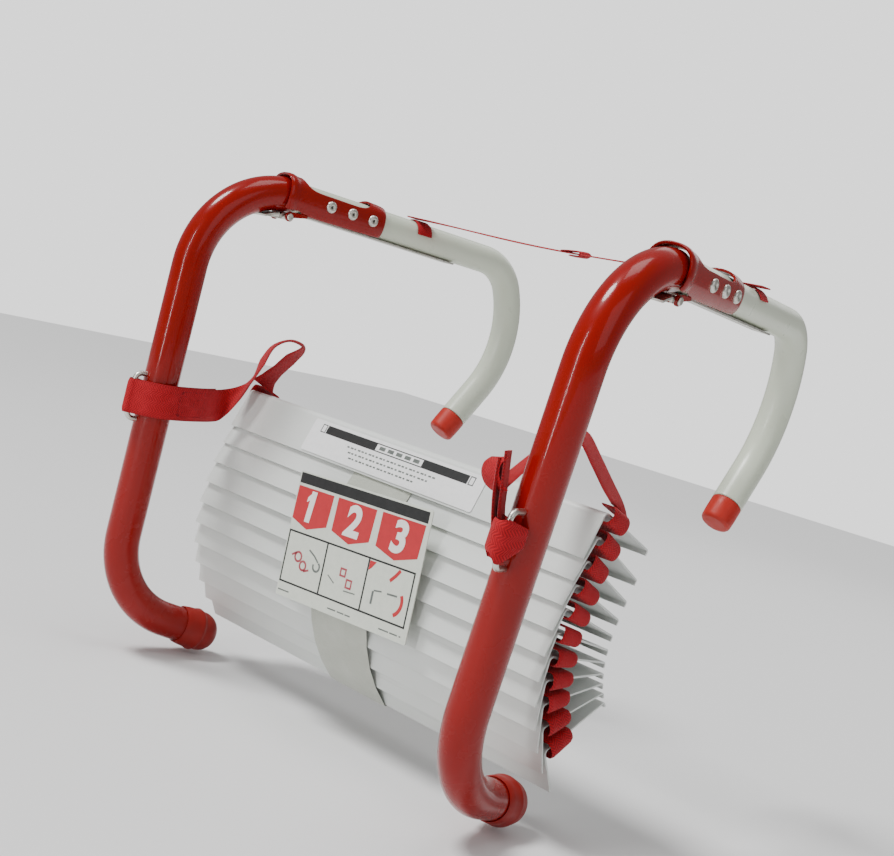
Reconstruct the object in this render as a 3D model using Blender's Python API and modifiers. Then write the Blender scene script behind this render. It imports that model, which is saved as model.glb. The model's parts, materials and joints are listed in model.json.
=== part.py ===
"""Escape rope ladder, packed: two hook arms, a nest of rungs on folded webbing and a belt round them.

Metres, +Z up. +Y points to the wall that the hooks reach over, X runs from the left arm to the right.
The origin is where a window sill would carry the two hooks: midway between them, under their tubes.
"""
import math

import bmesh
import bpy
from mathutils import Euler, Matrix, Vector

# ---------------------------------------------------------------- driving sizes
ARM_TUBE_R = 0.0127
HOOK_TUBE_R = 0.0111
ARM_SPACING = 0.3516
LEG_LENGTH = 0.199
LEG_Y = -0.215
LEG_MID_Z = -0.1515
TOP_BEND_R = 0.0674
TOP_BEND_TURN = 89.0
LOW_BEND_R = 0.0622
LOW_BEND_TURN = 78.0
FOOT_RUN = 0.036
TOE_IN = 9.35
LEFT_LEAN = 0.0
RIGHT_LEAN = 4.0

HOOK_START_Y = 0.0715
HOOK_SLOPE = -1.3
HOOK_RUN = 0.1875
HOOK_BEND_R = 0.036
HOOK_BEND_TURN = 61.0
HOOK_SWEEP_R = 0.085
HOOK_SWEEP_TURN = 60.5
HOOK_TIP_RUN = 0.031
PLUG_LENGTH = 0.018
PLUG_STEM_R = 0.0080
PLUG_STEM = 0.012

SLEEVE_WALL = 0.0016
SLEEVE_SECTORS = 24
RIVET_Y = (0.095, 0.1150, 0.1345)
RIVET_SHANK_R = 0.0020
RIVET_HEAD_R = 0.0041

HINGE_Y = 0.064
HINGE_DROP = 0.0157
HINGE_PIN_R = 0.0014
HINGE_PLATE_WIDTH = 0.016
LEAF_HALF_WIDTH = 0.0115
EAR_R = 0.0034
KNUCKLE_R = 0.0025
EAR_X = 0.0105
EAR_THICKNESS = 0.002
LATCH_STRIP_WIDTH = 0.013
TAB_WIDTH = 0.014

RUNG_COUNT = 11
RUNG_LENGTH = 0.337
RUNG_SHEET = 0.0012
RUNG_LIP = 0.031
RUNG_PLATE = 0.057
RUNG_BEND_R = 0.003
RUNG_REAR_LIP = 0.0035
RUNG_PITCH = 0.0149
NEST_GAP = 0.0024
BELT_ROOM = 0.0022
FIRST_RUNG_Y = -0.1362
FIRST_RUNG_Z = -0.131

WEB_WIDTH = 0.0195
WEB_THICKNESS = 0.0015
WEB_INSET = 0.0018
WEB_REACH = 0.026
WEB_BULGE = 0.0028

STRAP_WIDTH = 0.025
STRAP_THICKNESS = 0.0016
STAPLE_TOP_Z = 0.0168
STAPLE_LOW_Z = -0.016
STAPLE_BAR_Y = -0.0255
STAPLE_R = 0.0019

BELT_WIDTH = 0.056
BELT_THICKNESS = 0.0010
BELT_X = -0.005
GAP = 0.0003

LEFT = -1
RIGHT = 1


# ---------------------------------------------------------------- scene set-up
def clear_scene():
    for old in list(bpy.data.objects):
        bpy.data.objects.remove(old, do_unlink=True)


clear_scene()
parts = bpy.data.collections.new("escape_rope_ladder")
bpy.context.scene.collection.children.link(parts)
cutters = bpy.data.collections.new("cutters")
bpy.context.scene.collection.children.link(cutters)


def make_material(name, colour, roughness, metallic=0.0):
    material = bpy.data.materials.new(name)
    material.use_nodes = True
    shader = material.node_tree.nodes["Principled BSDF"]
    shader.inputs["Base Color"].default_value = (*colour, 1.0)
    shader.inputs["Roughness"].default_value = roughness
    shader.inputs["Metallic"].default_value = metallic
    return material


LOOKS = {
    "red_paint": ((0.50, 0.02, 0.015), 0.25, 0.0),
    "white_paint": ((0.78, 0.80, 0.73), 0.35, 0.0),
    "red_cap": ((0.55, 0.03, 0.02), 0.45, 0.0),
    "red_webbing": ((0.48, 0.01, 0.02), 0.85, 0.0),
    "rung_coat": ((0.72, 0.73, 0.74), 0.45, 0.1),
    "plated_steel": ((0.60, 0.60, 0.58), 0.35, 1.0),
    "grey_belt": ((0.62, 0.62, 0.58), 0.9, 0.0),
    "card": ((0.85, 0.86, 0.82), 0.5, 0.0),
    "label": ((0.93, 0.93, 0.92), 0.4, 0.0),
}


def finish(obj, look, parent=None, location=(0, 0, 0), rotation=(0, 0, 0)):
    """Give a new object its material, collection, parent and place."""
    material = make_material(obj.name, *LOOKS[look])
    obj.data.materials.clear()
    obj.data.materials.append(material)
    for home in list(obj.users_collection):
        home.objects.unlink(obj)
    parts.objects.link(obj)
    obj.parent = parent
    obj.location = location
    obj.rotation_euler = rotation
    return obj


def make_guide(name, location, rotation=(0, 0, 0), parent=None):
    """An empty that carries a group of pieces."""
    guide = bpy.data.objects.new(name, None)
    guide.empty_display_size = 0.02
    cutters.objects.link(guide)
    guide.parent = parent
    guide.location = location
    guide.rotation_euler = rotation
    return guide


def as_cutter(obj, parent):
    for home in list(obj.users_collection):
        home.objects.unlink(obj)
    cutters.objects.link(obj)
    obj.parent = parent
    obj.hide_render = True
    obj.display_type = "WIRE"
    return obj


def add_boolean(obj, other, operation):
    modifier = obj.modifiers.new(other.name, "BOOLEAN")
    modifier.operation = operation
    modifier.solver = "EXACT"
    modifier.object = other


# ---------------------------------------------------------------- shape helpers
def walk(start, heading, moves):
    """Points in the YZ plane along straight runs (length,) and bends (radius, turn in degrees)."""
    y, z = start
    angle = math.radians(heading)
    points = [(y, z)]
    for move in moves:
        if len(move) == 1:
            y += move[0] * math.cos(angle)
            z += move[0] * math.sin(angle)
            points.append((y, z))
            continue
        radius, turn = move
        side = math.copysign(1.0, turn)
        steps = max(2, round(abs(turn) / 9))
        centre_y = y - side * radius * math.sin(angle)
        centre_z = z + side * radius * math.cos(angle)
        for _ in range(steps):
            angle += math.radians(turn) / steps
            y = centre_y + side * radius * math.sin(angle)
            z = centre_z - side * radius * math.cos(angle)
            points.append((y, z))
    return points, math.degrees(angle)


def make_tube(name, points, radius, resolution=3):
    """A round bar with filled ends along points in the YZ plane."""
    curve = bpy.data.curves.new(name, "CURVE")
    curve.dimensions = "3D"
    curve.bevel_depth = radius
    curve.bevel_resolution = resolution
    curve.use_fill_caps = True
    curve.render_resolution_u = 0
    spline = curve.splines.new("POLY")
    spline.points.add(len(points) - 1)
    for point, (y, z) in zip(spline.points, points):
        point.co = (0, y, z, 1)
    obj = bpy.data.objects.new(name, curve)
    parts.objects.link(obj)
    return obj


def curve_to_mesh(obj):
    """The evaluated curve as a welded mesh object of the same name."""
    depsgraph = bpy.context.evaluated_depsgraph_get()
    mesh = bpy.data.meshes.new_from_object(obj.evaluated_get(depsgraph))
    edit = bmesh.new()
    edit.from_mesh(mesh)
    bmesh.ops.remove_doubles(edit, verts=edit.verts, dist=1e-6)
    edit.to_mesh(mesh)
    edit.free()
    name = obj.name
    bpy.data.objects.remove(obj)
    result = bpy.data.objects.new(name, mesh)
    parts.objects.link(result)
    return result


def smooth(obj, angle=35):
    obj.data.shade_smooth()
    obj.data.set_sharp_from_angle(angle=math.radians(angle))
    return obj


def mesh_object(name, verts, faces):
    mesh = bpy.data.meshes.new(name)
    mesh.from_pydata([tuple(v) for v in verts], [], faces)
    obj = bpy.data.objects.new(name, mesh)
    parts.objects.link(obj)
    return obj


def make_ribbon(name, rail_a, rail_b, thickness, closed=False):
    """A strip of sheet between two rails, thickened to both sides."""
    count = len(rail_a)
    verts = list(rail_a) + list(rail_b)
    last = count if closed else count - 1
    faces = []
    for i in range(last):
        j = (i + 1) % count
        faces.append((i, j, count + j, count + i))
    obj = mesh_object(name, verts, faces)
    shell = obj.modifiers.new("thickness", "SOLIDIFY")
    shell.thickness = thickness
    shell.offset = 0
    return smooth(obj)


def planar_ribbon(name, path, across, width, thickness, closed=False):
    """A ribbon whose width runs along the one direction `across`."""
    half = Vector(across) * (width / 2)
    rail_a = [Vector(p) - half for p in path]
    rail_b = [Vector(p) + half for p in path]
    return make_ribbon(name, rail_a, rail_b, thickness, closed)


def make_turned(name, profile, steps=24):
    """A body of revolution about Z from (radius, height) points, outer side top to bottom."""
    mesh = bpy.data.meshes.new(name)
    verts = [(radius, 0, height) for radius, height in profile]
    mesh.from_pydata(verts, [(i, i + 1) for i in range(len(verts) - 1)], [])
    obj = bpy.data.objects.new(name, mesh)
    parts.objects.link(obj)
    screw = obj.modifiers.new("turn", "SCREW")
    screw.steps = steps
    screw.render_steps = steps
    screw.use_merge_vertices = True
    screw.merge_threshold = 1e-5
    screw.use_smooth_shade = True
    return obj


def make_bar_along_x(name, radius, length, segments=16):
    mesh = bpy.data.meshes.new(name)
    edit = bmesh.new()
    bmesh.ops.create_cone(
        edit,
        cap_ends=True,
        segments=segments,
        radius1=radius,
        radius2=radius,
        depth=length,
        matrix=Matrix.Rotation(math.pi / 2, 4, "Y"),
    )
    edit.to_mesh(mesh)
    edit.free()
    obj = bpy.data.objects.new(name, mesh)
    parts.objects.link(obj)
    return obj


def arc(centre, radius, start, end, steps):
    """Points on a circle in a plane, angles in degrees."""
    points = []
    for i in range(steps + 1):
        angle = math.radians(start + (end - start) * i / steps)
        points.append((centre[0] + radius * math.cos(angle), centre[1] + radius * math.sin(angle)))
    return points


def flat_outline(name, outlines, thickness):
    """A plate cut to 2D outlines; the ones after the first are holes. It lies in the YZ plane."""
    curve = bpy.data.curves.new(name, "CURVE")
    curve.dimensions = "2D"
    curve.fill_mode = "BOTH"
    curve.extrude = thickness / 2
    curve.render_resolution_u = 0
    for outline in outlines:
        spline = curve.splines.new("POLY")
        spline.points.add(len(outline) - 1)
        for point, (y, z) in zip(spline.points, outline):
            point.co = (y, z, 0, 1)
        spline.use_cyclic_u = True
    flat = bpy.data.objects.new(name, curve)
    parts.objects.link(flat)
    obj = curve_to_mesh(flat)
    obj.data.transform(Matrix(((0, 0, 1, 0), (1, 0, 0, 0), (0, 1, 0, 0), (0, 0, 0, 1))))
    return obj


# ---------------------------------------------------------------- one arm
HALF_LEG = LEG_LENGTH / 2


def make_arm_tube(side, frame):
    """The C-shaped tube: foot, lower bend, leg, top bend and the short run into the sleeve."""
    up, _ = walk((0, 0), 90, [(HALF_LEG,), (TOP_BEND_R, -TOP_BEND_TURN)])
    down, heading = walk((0, 0), -90, [(HALF_LEG,), (LOW_BEND_R, LOW_BEND_TURN), (FOOT_RUN,)])
    tube = curve_to_mesh(make_tube(side + "_arm_tube", down[:0:-1] + up, ARM_TUBE_R))
    smooth(tube)
    for height in (STAPLE_TOP_Z, STAPLE_LOW_Z):
        bore = make_bar_along_x(side + "_staple_bore", STAPLE_R + GAP, 0.012)
        as_cutter(bore, frame)
        bore.rotation_euler = (0, 0, math.pi / 2)
        bore.location = (0, -ARM_TUBE_R, height)
        add_boolean(tube, bore, "DIFFERENCE")
    finish(tube, "red_paint", frame)
    return down[-1], heading, up[-1]


CAP_WALL = 0.0017


def make_end_cap(name, look, tube_r, length, collar, grip, frame, end, heading):
    """A moulded cap pushed over a tube's end; `grip` is how far it covers the tube."""
    bore_r = tube_r + GAP
    outer = bore_r + CAP_WALL
    crown = length - grip
    profile = [
        (0, -GAP),
        (bore_r, -GAP),
        (bore_r, grip),
        (outer + collar, grip),
        (outer + collar, grip - 0.006),
        (outer, grip - 0.008),
        (outer, 0.002 - crown),
        (outer - 0.0015, 0.0005 - crown),
        (outer - 0.004, -crown),
        (0, -crown),
    ]
    cap = make_turned(name, profile)
    tilt = math.radians(90 + heading)
    finish(cap, look, frame, (0, end[0], end[1]), (tilt, 0, 0))
    return cap


def make_hinge_plate(side, frame, top_z):
    """Plated leaf cupped under the arm tube: a wide strip with a pressed ridge, then the hinge knuckle."""
    pin_z = top_z - HINGE_DROP
    inner = TOP_BEND_R - ARM_TUBE_R - GAP - 0.0008
    follow = arc((TOP_BEND_R, HALF_LEG), inner, 116, 104, 3)
    low_z = follow[-1][1]
    path = [(0, y, z) for y, z in follow]
    path += [(0, 0.0555, low_z - 0.0016), (0, 0.0575, low_z - 0.0014)]
    leaf = planar_ribbon(side + "_hinge_plate", path, (1, 0, 0), 2 * LEAF_HALF_WIDTH, 0.0014)
    root_z = low_z - 0.0014
    ring = arc((HINGE_Y, pin_z), KNUCKLE_R, 150, 450, 20)
    top = top_z - ARM_TUBE_R - GAP
    outline = [(0.0560, root_z), (0.0560, root_z - 0.0016), (0.0590, root_z - 0.0016)]
    outline += ring + [(HINGE_Y, top), (0.0600, top - 0.0006)]
    bore = arc((HINGE_Y, pin_z), HINGE_PIN_R + GAP, 0, 342, 19)
    knuckle = flat_outline(side + "_knuckle", [outline, bore], HINGE_PLATE_WIDTH)
    as_cutter(knuckle, frame)
    add_boolean(leaf, knuckle, "UNION")
    finish(leaf, "plated_steel", frame)


def make_hinge_pin(side, frame, top_z):
    reach = EAR_X + EAR_THICKNESS / 2 + GAP
    head = 0.0012
    rim = 0.0027
    profile = [
        (0, reach + head),
        (rim - 0.0006, reach + head),
        (rim, reach + 0.0006),
        (rim, reach),
        (HINGE_PIN_R, reach),
        (HINGE_PIN_R, -reach),
        (rim, -reach),
        (rim, -reach - 0.0006),
        (rim - 0.0006, -reach - head),
        (0, -reach - head),
    ]
    pin = make_turned(side + "_hinge_pin", profile, 16)
    finish(pin, "plated_steel", frame, (0, HINGE_Y, top_z - HINGE_DROP), (0, math.pi / 2, 0))


SLEEVE_PROFILE = (
    (0.0575, 0.0156),
    (0.0600, 0.0166),
    (0.0630, 0.0166),
    (0.0655, 0.0154),
    (0.0680, 0.0150),
    (0.0710, 0.0150),
    (0.0750, 0.0149),
    (0.0950, 0.0146),
    (0.1150, 0.0142),
    (0.1330, 0.0139),
    (0.1400, 0.0137),
    (0.1440, 0.0134),
    (0.1465, 0.0130),
)
TOP_SLOT = (0.068, 0.133)
LIP_END = 0.071
SQUARENESS = 2.5
SLEEVE_ROWS = [y for y, _ in SLEEVE_PROFILE]


def sleeve_radius(y):
    """Outer half-size of the sleeve: a rolled lip, then a slow taper and a drawn-in end."""
    for (y0, r0), (y1, r1) in zip(SLEEVE_PROFILE, SLEEVE_PROFILE[1:]):
        if y <= y1:
            return r0 + (r1 - r0) * (y - y0) / (y1 - y0)
    return SLEEVE_PROFILE[-1][1]


def hook_axis_z(top_z, y):
    return top_z + (y - HOOK_START_Y) * math.tan(math.radians(HOOK_SLOPE))


def make_sleeve(side, hook, frame_to_hook, top_z):
    """The pressed sleeve: open below for the latch strip, with a long window along its top."""
    verts = []
    count = SLEEVE_SECTORS
    for y, size in SLEEVE_PROFILE:
        for k in range(count):
            angle = 2 * math.pi * (k + 0.5) / count
            c = math.cos(angle)
            s = math.sin(angle)
            x = math.copysign(abs(c) ** (2 / SQUARENESS), c) * size
            z = math.copysign(abs(s) ** (2 / SQUARENESS), s) * size
            verts.append(Vector((x, y, hook_axis_z(top_z, y) + z)) - frame_to_hook)
    faces = []
    for row, (y0, y1) in enumerate(zip(SLEEVE_ROWS, SLEEVE_ROWS[1:])):
        for k in range(count):
            middle = 360 * (k + 1) / count
            on_top = abs(middle - 90) < 46
            below = abs(middle - 270)
            if on_top and TOP_SLOT[0] <= y0 and y1 <= TOP_SLOT[1]:
                continue
            if below < 31 or (below < 46 and y1 <= LIP_END):
                continue
            a = row * count + k
            b = row * count + (k + 1) % count
            faces.append((a, a + count, b + count, b))
    used = sorted({index for face in faces for index in face})
    renumber = {old: new for new, old in enumerate(used)}
    faces = [tuple(renumber[i] for i in face) for face in faces]
    sleeve = mesh_object(side + "_hook_sleeve", [verts[i] for i in used], faces)
    shell = sleeve.modifiers.new("wall", "SOLIDIFY")
    shell.thickness = SLEEVE_WALL
    shell.offset = -1
    for x in (-EAR_X, EAR_X):
        top = top_z - 0.0115
        pin_z = top_z - HINGE_DROP
        ring = arc((HINGE_Y, pin_z), EAR_R, 120, 360, 14)
        rear = HINGE_Y + 0.015
        outline = ring + [(rear, top - 0.002), (rear, top), (HINGE_Y + 0.0035, top)]
        bore = arc((HINGE_Y, pin_z), HINGE_PIN_R + GAP, 0, 342, 19)
        ear = flat_outline(side + "_ear", [outline, bore], EAR_THICKNESS)
        ear.data.transform(Matrix.Translation(-frame_to_hook))
        as_cutter(ear, hook)
        ear.location = (x, 0, 0)
        add_boolean(sleeve, ear, "UNION")
    return sleeve


def make_rivet(side, number, hook, centre, half_width):
    face = half_width + GAP
    profile = [
        (0, face + 0.0006),
        (0.0012, face + 0.0006),
        (0.0019, face + 0.0018),
        (0.0030, face + 0.0016),
        (RIVET_HEAD_R, face + 0.0004),
        (RIVET_HEAD_R, face),
        (RIVET_SHANK_R, face),
        (RIVET_SHANK_R, -face),
        (RIVET_HEAD_R, -face),
        (RIVET_HEAD_R, -face - 0.0004),
        (0.0030, -face - 0.0016),
        (0.0019, -face - 0.0018),
        (0.0012, -face - 0.0006),
        (0, -face - 0.0006),
    ]
    rivet = make_turned(side + "_sleeve_rivet_" + str(number), profile, 16)
    finish(rivet, "plated_steel", hook, centre, (0, math.pi / 2, 0))


def make_plug(name, frame, end, heading):
    """The moulded plug in the hook's tip: flush with the tube, with a stem inside it."""
    edge = HOOK_TUBE_R - 0.0002
    profile = [
        (0, PLUG_STEM - 0.001),
        (PLUG_STEM_R, PLUG_STEM - 0.001),
        (PLUG_STEM_R, -GAP),
        (edge, -GAP),
        (edge, 0.0025 - PLUG_LENGTH),
        (edge - 0.0007, 0.0008 - PLUG_LENGTH),
        (edge - 0.0025, -PLUG_LENGTH),
        (0, -PLUG_LENGTH),
    ]
    plug = make_turned(name, profile)
    finish(plug, "red_cap", frame, (0, end[0], end[1]), (math.radians(90 + heading), 0, 0))


def make_hook(side, sign, hook, frame_to_hook, top_z):
    """Sleeve, rivets, hook tube, its plug, the latch strip and the spacer strap's tab."""
    start = (HOOK_START_Y - frame_to_hook.y, hook_axis_z(top_z, HOOK_START_Y) - frame_to_hook.z)
    moves = [
        (HOOK_RUN,),
        (HOOK_BEND_R, -HOOK_BEND_TURN),
        (HOOK_SWEEP_R, -HOOK_SWEEP_TURN),
        (HOOK_TIP_RUN,),
    ]
    points, heading = walk(start, HOOK_SLOPE, moves)
    tube = smooth(curve_to_mesh(make_tube(side + "_hook_tube", points, HOOK_TUBE_R)))
    sleeve = make_sleeve(side, hook, frame_to_hook, top_z)
    for number, y in enumerate(RIVET_Y, 1):
        centre = Vector((0, y, hook_axis_z(top_z, y))) - frame_to_hook
        bore = make_bar_along_x(side + "_rivet_bore_" + str(number), RIVET_SHANK_R + GAP, 0.06)
        as_cutter(bore, hook)
        bore.location = centre
        add_boolean(tube, bore, "DIFFERENCE")
        add_boolean(sleeve, bore, "DIFFERENCE")
        make_rivet(side, number, hook, centre, sleeve_radius(y))
    socket = make_bar_along_x(side + "_plug_bore", PLUG_STEM_R + GAP, 2 * PLUG_STEM)
    socket.data.transform(Matrix.Rotation(math.pi / 2, 4, "Z"))
    as_cutter(socket, hook)
    socket.location = (0, points[-1][0], points[-1][1])
    socket.rotation_euler = (math.radians(heading), 0, 0)
    add_boolean(tube, socket, "DIFFERENCE")
    finish(tube, "white_paint", hook)
    finish(smooth(sleeve), "red_paint", hook)
    make_plug(side + "_hook_plug", hook, points[-1], heading)

    path = []
    for y in (0.0740, 0.1100, 0.1500, 0.2250):
        drop = HOOK_TUBE_R + GAP + 0.0006
        path.append(Vector((0, y, hook_axis_z(top_z, y) - drop)) - frame_to_hook)
    strip = planar_ribbon(side + "_latch_strip", path, (1, 0, 0), LATCH_STRIP_WIDTH, 0.0012)
    finish(strip, "plated_steel", hook)

    tab_y = 0.1865
    centre = Vector((0, tab_y, hook_axis_z(top_z, tab_y))) - frame_to_hook
    radius = HOOK_TUBE_R + GAP + 0.0008
    saddle = [centre + Vector((-sign * x, 0, z)) for x, z in arc((0, 0), radius, 15, 150, 9)]
    tab = planar_ribbon(side + "_spacer_tab", saddle, (0, 1, 0), TAB_WIDTH, 0.0012)
    finish(tab, "red_webbing", hook)
    return centre


def make_staple(side, frame):
    """The wire staple on the leg's front that the webbing loops round; its ends sit in two holes."""
    seat_y = 0.004 - ARM_TUBE_R
    bend = 0.006
    upper = arc((STAPLE_BAR_Y + bend, STAPLE_TOP_Z - bend), bend, 90, 180, 4)
    lower = arc((STAPLE_BAR_Y + bend, STAPLE_LOW_Z + bend), bend, 180, 270, 4)
    points = [(seat_y, STAPLE_TOP_Z)] + upper + lower + [(seat_y, STAPLE_LOW_Z)]
    staple = make_tube(side + "_strap_staple", points, STAPLE_R, 2)
    finish(staple, "plated_steel", frame)


def smooth_route(stations, steps=4):
    """Points and width directions on a smooth curve through (point, width direction) stations."""
    places = [Vector(p) for p, _ in stations]
    widths = [Vector(w).normalized() for _, w in stations]
    route = []
    for i in range(len(stations) - 1):
        before = places[max(i - 1, 0)]
        after = places[min(i + 2, len(places) - 1)]
        for step in range(steps):
            t = step / steps
            place = 0.5 * (
                2 * places[i]
                + (places[i + 1] - before) * t
                + (2 * before - 5 * places[i] + 4 * places[i + 1] - after) * t * t
                + (3 * places[i] - before - 3 * places[i + 1] + after) * t * t * t
            )
            route.append((place, widths[i].lerp(widths[i + 1], t).normalized()))
    route.append((places[-1], widths[-1]))
    return route


def make_strap(name, stations, width, steps=4):
    """Webbing that turns and twists through its stations, which are in millimetres."""
    route = smooth_route(stations, steps)
    rail_a = [(place - across * width * 500) / 1000 for place, across in route]
    rail_b = [(place + across * width * 500) / 1000 for place, across in route]
    strap = make_ribbon(name, rail_a, rail_b, STRAP_THICKNESS)
    finish(strap, "red_webbing")


UPRIGHT = (0, 0, 1)
LEFT_LEG_LOOP = (
    (17.0, -4.0), (11.5, -14.5), (4.2, -24.5), (2.4, -28.4), (-0.8, -29.6), (-3.4, -27.8), (-3.4, -24.2),
    (-1.6, -21.6), (1.8, -21.4), (9.6, -12.8), (14.8, -3.6), (14.8, 8.0), (8.2, 29.0), (-2.0, 46.0),
    (-1.4, 47.6), (0.2, 47.4), (10.4, 30.0), (17.0, 8.0),
)
RIGHT_LEG_LOOP = (
    (7.6, -15.6), (5.6, -22.5), (2.5, -29.0), (-2.0, -31.0), (-6.6, -28.0), (-9.6, -22.8), (-9.8, -18.8),
    (-8.2, -17.6), (-6.0, -19.4), (-2.0, -21.2), (3.0, -18.8), (5.4, -15.4), (6.6, -14.8),
)


def make_arm_strap(side, frame, loop, rise):
    """Webbing looped round the staple and led back toward the nest; it climbs by `rise` per metre."""
    path = []
    for x, y in loop:
        path.append(Vector((x / 1000, y / 1000, rise * (y / 1000 + 0.025))))
    strap = planar_ribbon(side + "_arm_strap", path, UPRIGHT, STRAP_WIDTH, STRAP_THICKNESS, closed=True)
    finish(strap, "red_webbing", frame)


def make_arm(side, sign, lean, loop, rise):
    rotation = Euler((0, math.radians(lean), math.radians(sign * TOE_IN)))
    frame = make_guide(side + "_arm", (sign * ARM_SPACING / 2, LEG_Y, LEG_MID_Z), rotation)
    foot_end, foot_heading, top_end = make_arm_tube(side, frame)
    top_z = top_end[1]
    make_end_cap(
        side + "_foot_cap", "red_cap", ARM_TUBE_R, 0.034, 0.0012, 0.026, frame, foot_end, foot_heading
    )
    make_hinge_plate(side, frame, top_z)
    make_hinge_pin(side, frame, top_z)
    make_staple(side, frame)
    make_arm_strap(side, frame, loop, rise)
    frame_to_hook = Vector((0, HINGE_Y, top_z - HINGE_DROP))
    hook = make_guide(side + "_hook", frame_to_hook, parent=frame)
    tab = make_hook(side, sign, hook, frame_to_hook, top_z)
    bpy.context.view_layer.update()
    return hook.matrix_world @ tab, hook.matrix_world.translation.copy()


# ---------------------------------------------------------------- nest of rungs
def fan_angle(index):
    """How far a rung's plate is turned from level: the webbing folds hold the fronts apart."""
    if index == 0:
        return -21.0
    share = max(0.0, (index - 1.5) / (RUNG_COUNT - 2.5))
    return -26.0 + 58.0 * share ** 1.5


def rung_frames():
    """(bend y, bend z, plate angle in radians) of each rung, nested front lip behind front lip."""
    frames = []
    y = FIRST_RUNG_Y
    for index in range(RUNG_COUNT):
        angle = math.radians(fan_angle(index))
        z = FIRST_RUNG_Z - index * RUNG_PITCH
        frames.append((y, z, angle))
        y += RUNG_PITCH * math.tan(angle) + NEST_GAP
        if index == 0:
            y += BELT_ROOM
    return frames


RUNGS = rung_frames()


def rung_section():
    """Front lip, rounded bend, plate and turned-down rear edge, bend at the origin."""
    bend = arc((RUNG_BEND_R, -RUNG_BEND_R), RUNG_BEND_R, 180, 90, 4)
    rear = arc((RUNG_PLATE - 0.0015, -0.0015), 0.0015, 90, 0, 3)
    return [(0.0, -RUNG_LIP), (0.0, -RUNG_LIP / 2)] + bend + rear + [(RUNG_PLATE, -RUNG_REAR_LIP)]


def turned_point(frame, along, up):
    """A point `along` the plate and `up` from it, in world Y and Z."""
    y, z, angle = frame
    return (
        y + along * math.cos(angle) - up * math.sin(angle),
        z + along * math.sin(angle) + up * math.cos(angle),
    )


def make_rungs():
    for index, frame in enumerate(RUNGS):
        path = []
        for along, up in rung_section():
            y, z = turned_point(frame, along, up)
            path.append((0, y, z))
        name = "rung_" + str(index + 1).zfill(2)
        finish(planar_ribbon(name, path, (1, 0, 0), RUNG_LENGTH, RUNG_SHEET), "rung_coat")


def plate_pitch(index, along):
    """Distance from a plate down to the next one, at a depth along the plate."""
    lower = min(index + 1, RUNG_COUNT - 1)
    upper = lower - 1
    y0, z0 = turned_point(RUNGS[upper], along, 0)
    y1, z1 = turned_point(RUNGS[lower], along, 0)
    return math.hypot(y1 - y0, z1 - z0)


def web_rail(sign, along):
    """One edge of the side webbing: round each plate's end, then a hairpin in the gap below it."""
    end = RUNG_LENGTH / 2 + 0.001
    inner = RUNG_LENGTH / 2 - WEB_REACH
    rail = []
    for index, frame in enumerate(RUNGS):
        half = 0.34 * min(plate_pitch(index, along), plate_pitch(max(index - 1, 0), along))
        if index == 0:
            y, z = turned_point(frame, along, half)
            rail.append(Vector((sign * inner, y, z)))
        for x, up in arc((0, 0), 1.0, 90, -90, 7):
            y, z = turned_point(frame, along, half * up)
            rail.append(Vector((sign * (end + WEB_BULGE * x), y, z)))
        y, z = turned_point(frame, along, -half)
        if index == RUNG_COUNT - 1:
            rail.append(Vector((sign * inner, y, z)))
            break
        upper = Vector((0, y, z))
        lower_half = 0.34 * min(plate_pitch(index + 1, along), plate_pitch(index, along))
        lower = Vector((0, *turned_point(RUNGS[index + 1], along, lower_half)))
        middle = (upper + lower) / 2
        radius = (upper - lower) / 2
        for x, up in arc((0, 0), 1.0, 90, -90, 5):
            point = middle + radius * up
            rail.append(Vector((sign * (inner - radius.length * x), point.y, point.z)))
    return rail


def make_webbing(side, sign):
    rail_a = web_rail(sign, WEB_INSET)
    rail_b = web_rail(sign, WEB_INSET + WEB_WIDTH)
    webbing = make_ribbon(side + "_ladder_webbing", rail_a, rail_b, WEB_THICKNESS)
    finish(webbing, "red_webbing")


ALONG_VIEW = (-0.7, 0.7, 0)
ALONG_PLATE = (0, 0.934, -0.358)
LEFT_BIGHT = (
    ((-167.6, -165.0, -147.2), UPRIGHT),
    ((-165.8, -157.0, -143.0), (-0.25, 0.35, 0.9)),
    ((-163.4, -150.0, -135.0), (-0.5, 0.6, 0.62)),
    ((-162.6, -143.5, -123.5), (-0.65, 0.7, 0.3)),
    ((-163.8, -137.0, -109.0), ALONG_VIEW),
    ((-162.0, -131.5, -95.8), ALONG_VIEW),
    ((-153.5, -125.0, -88.6), ALONG_VIEW),
    ((-145.0, -119.5, -89.4), ALONG_VIEW),
    ((-144.6, -118.6, -93.6), (-0.62, 0.77, -0.15)),
    ((-154.0, -119.5, -102.5), (-0.48, 0.82, -0.30)),
    ((-162.6, -121.0, -112.8), (-0.48, 0.82, -0.30)),
    ((-168.4, -123.0, -121.2), (-0.33, 0.90, -0.28)),
    ((-170.7, -124.5, -127.8), ALONG_PLATE),
)
RIGHT_BIGHT = (
    ((161.0, -229.0, -124.5), (-0.77, 0.63, 0.12)),
    ((154.5, -214.0, -119.5), (-0.77, 0.63, 0.12)),
    ((149.0, -194.0, -109.5), (-0.72, 0.68, 0.15)),
    ((145.5, -173.0, -97.0), (-0.62, 0.76, 0.18)),
    ((144.0, -158.0, -89.5), (-0.50, 0.84, 0.20)),
    ((147.0, -147.0, -92.0), (-0.39, 0.89, 0.23)),
    ((154.2, -139.0, -104.0), (-0.39, 0.89, 0.23)),
    ((160.5, -131.0, -115.8), (-0.36, 0.91, 0.18)),
    ((165.5, -125.5, -124.0), (-0.25, 0.95, 0.00)),
    ((167.0, -122.5, -128.8), ALONG_PLATE),
)


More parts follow.
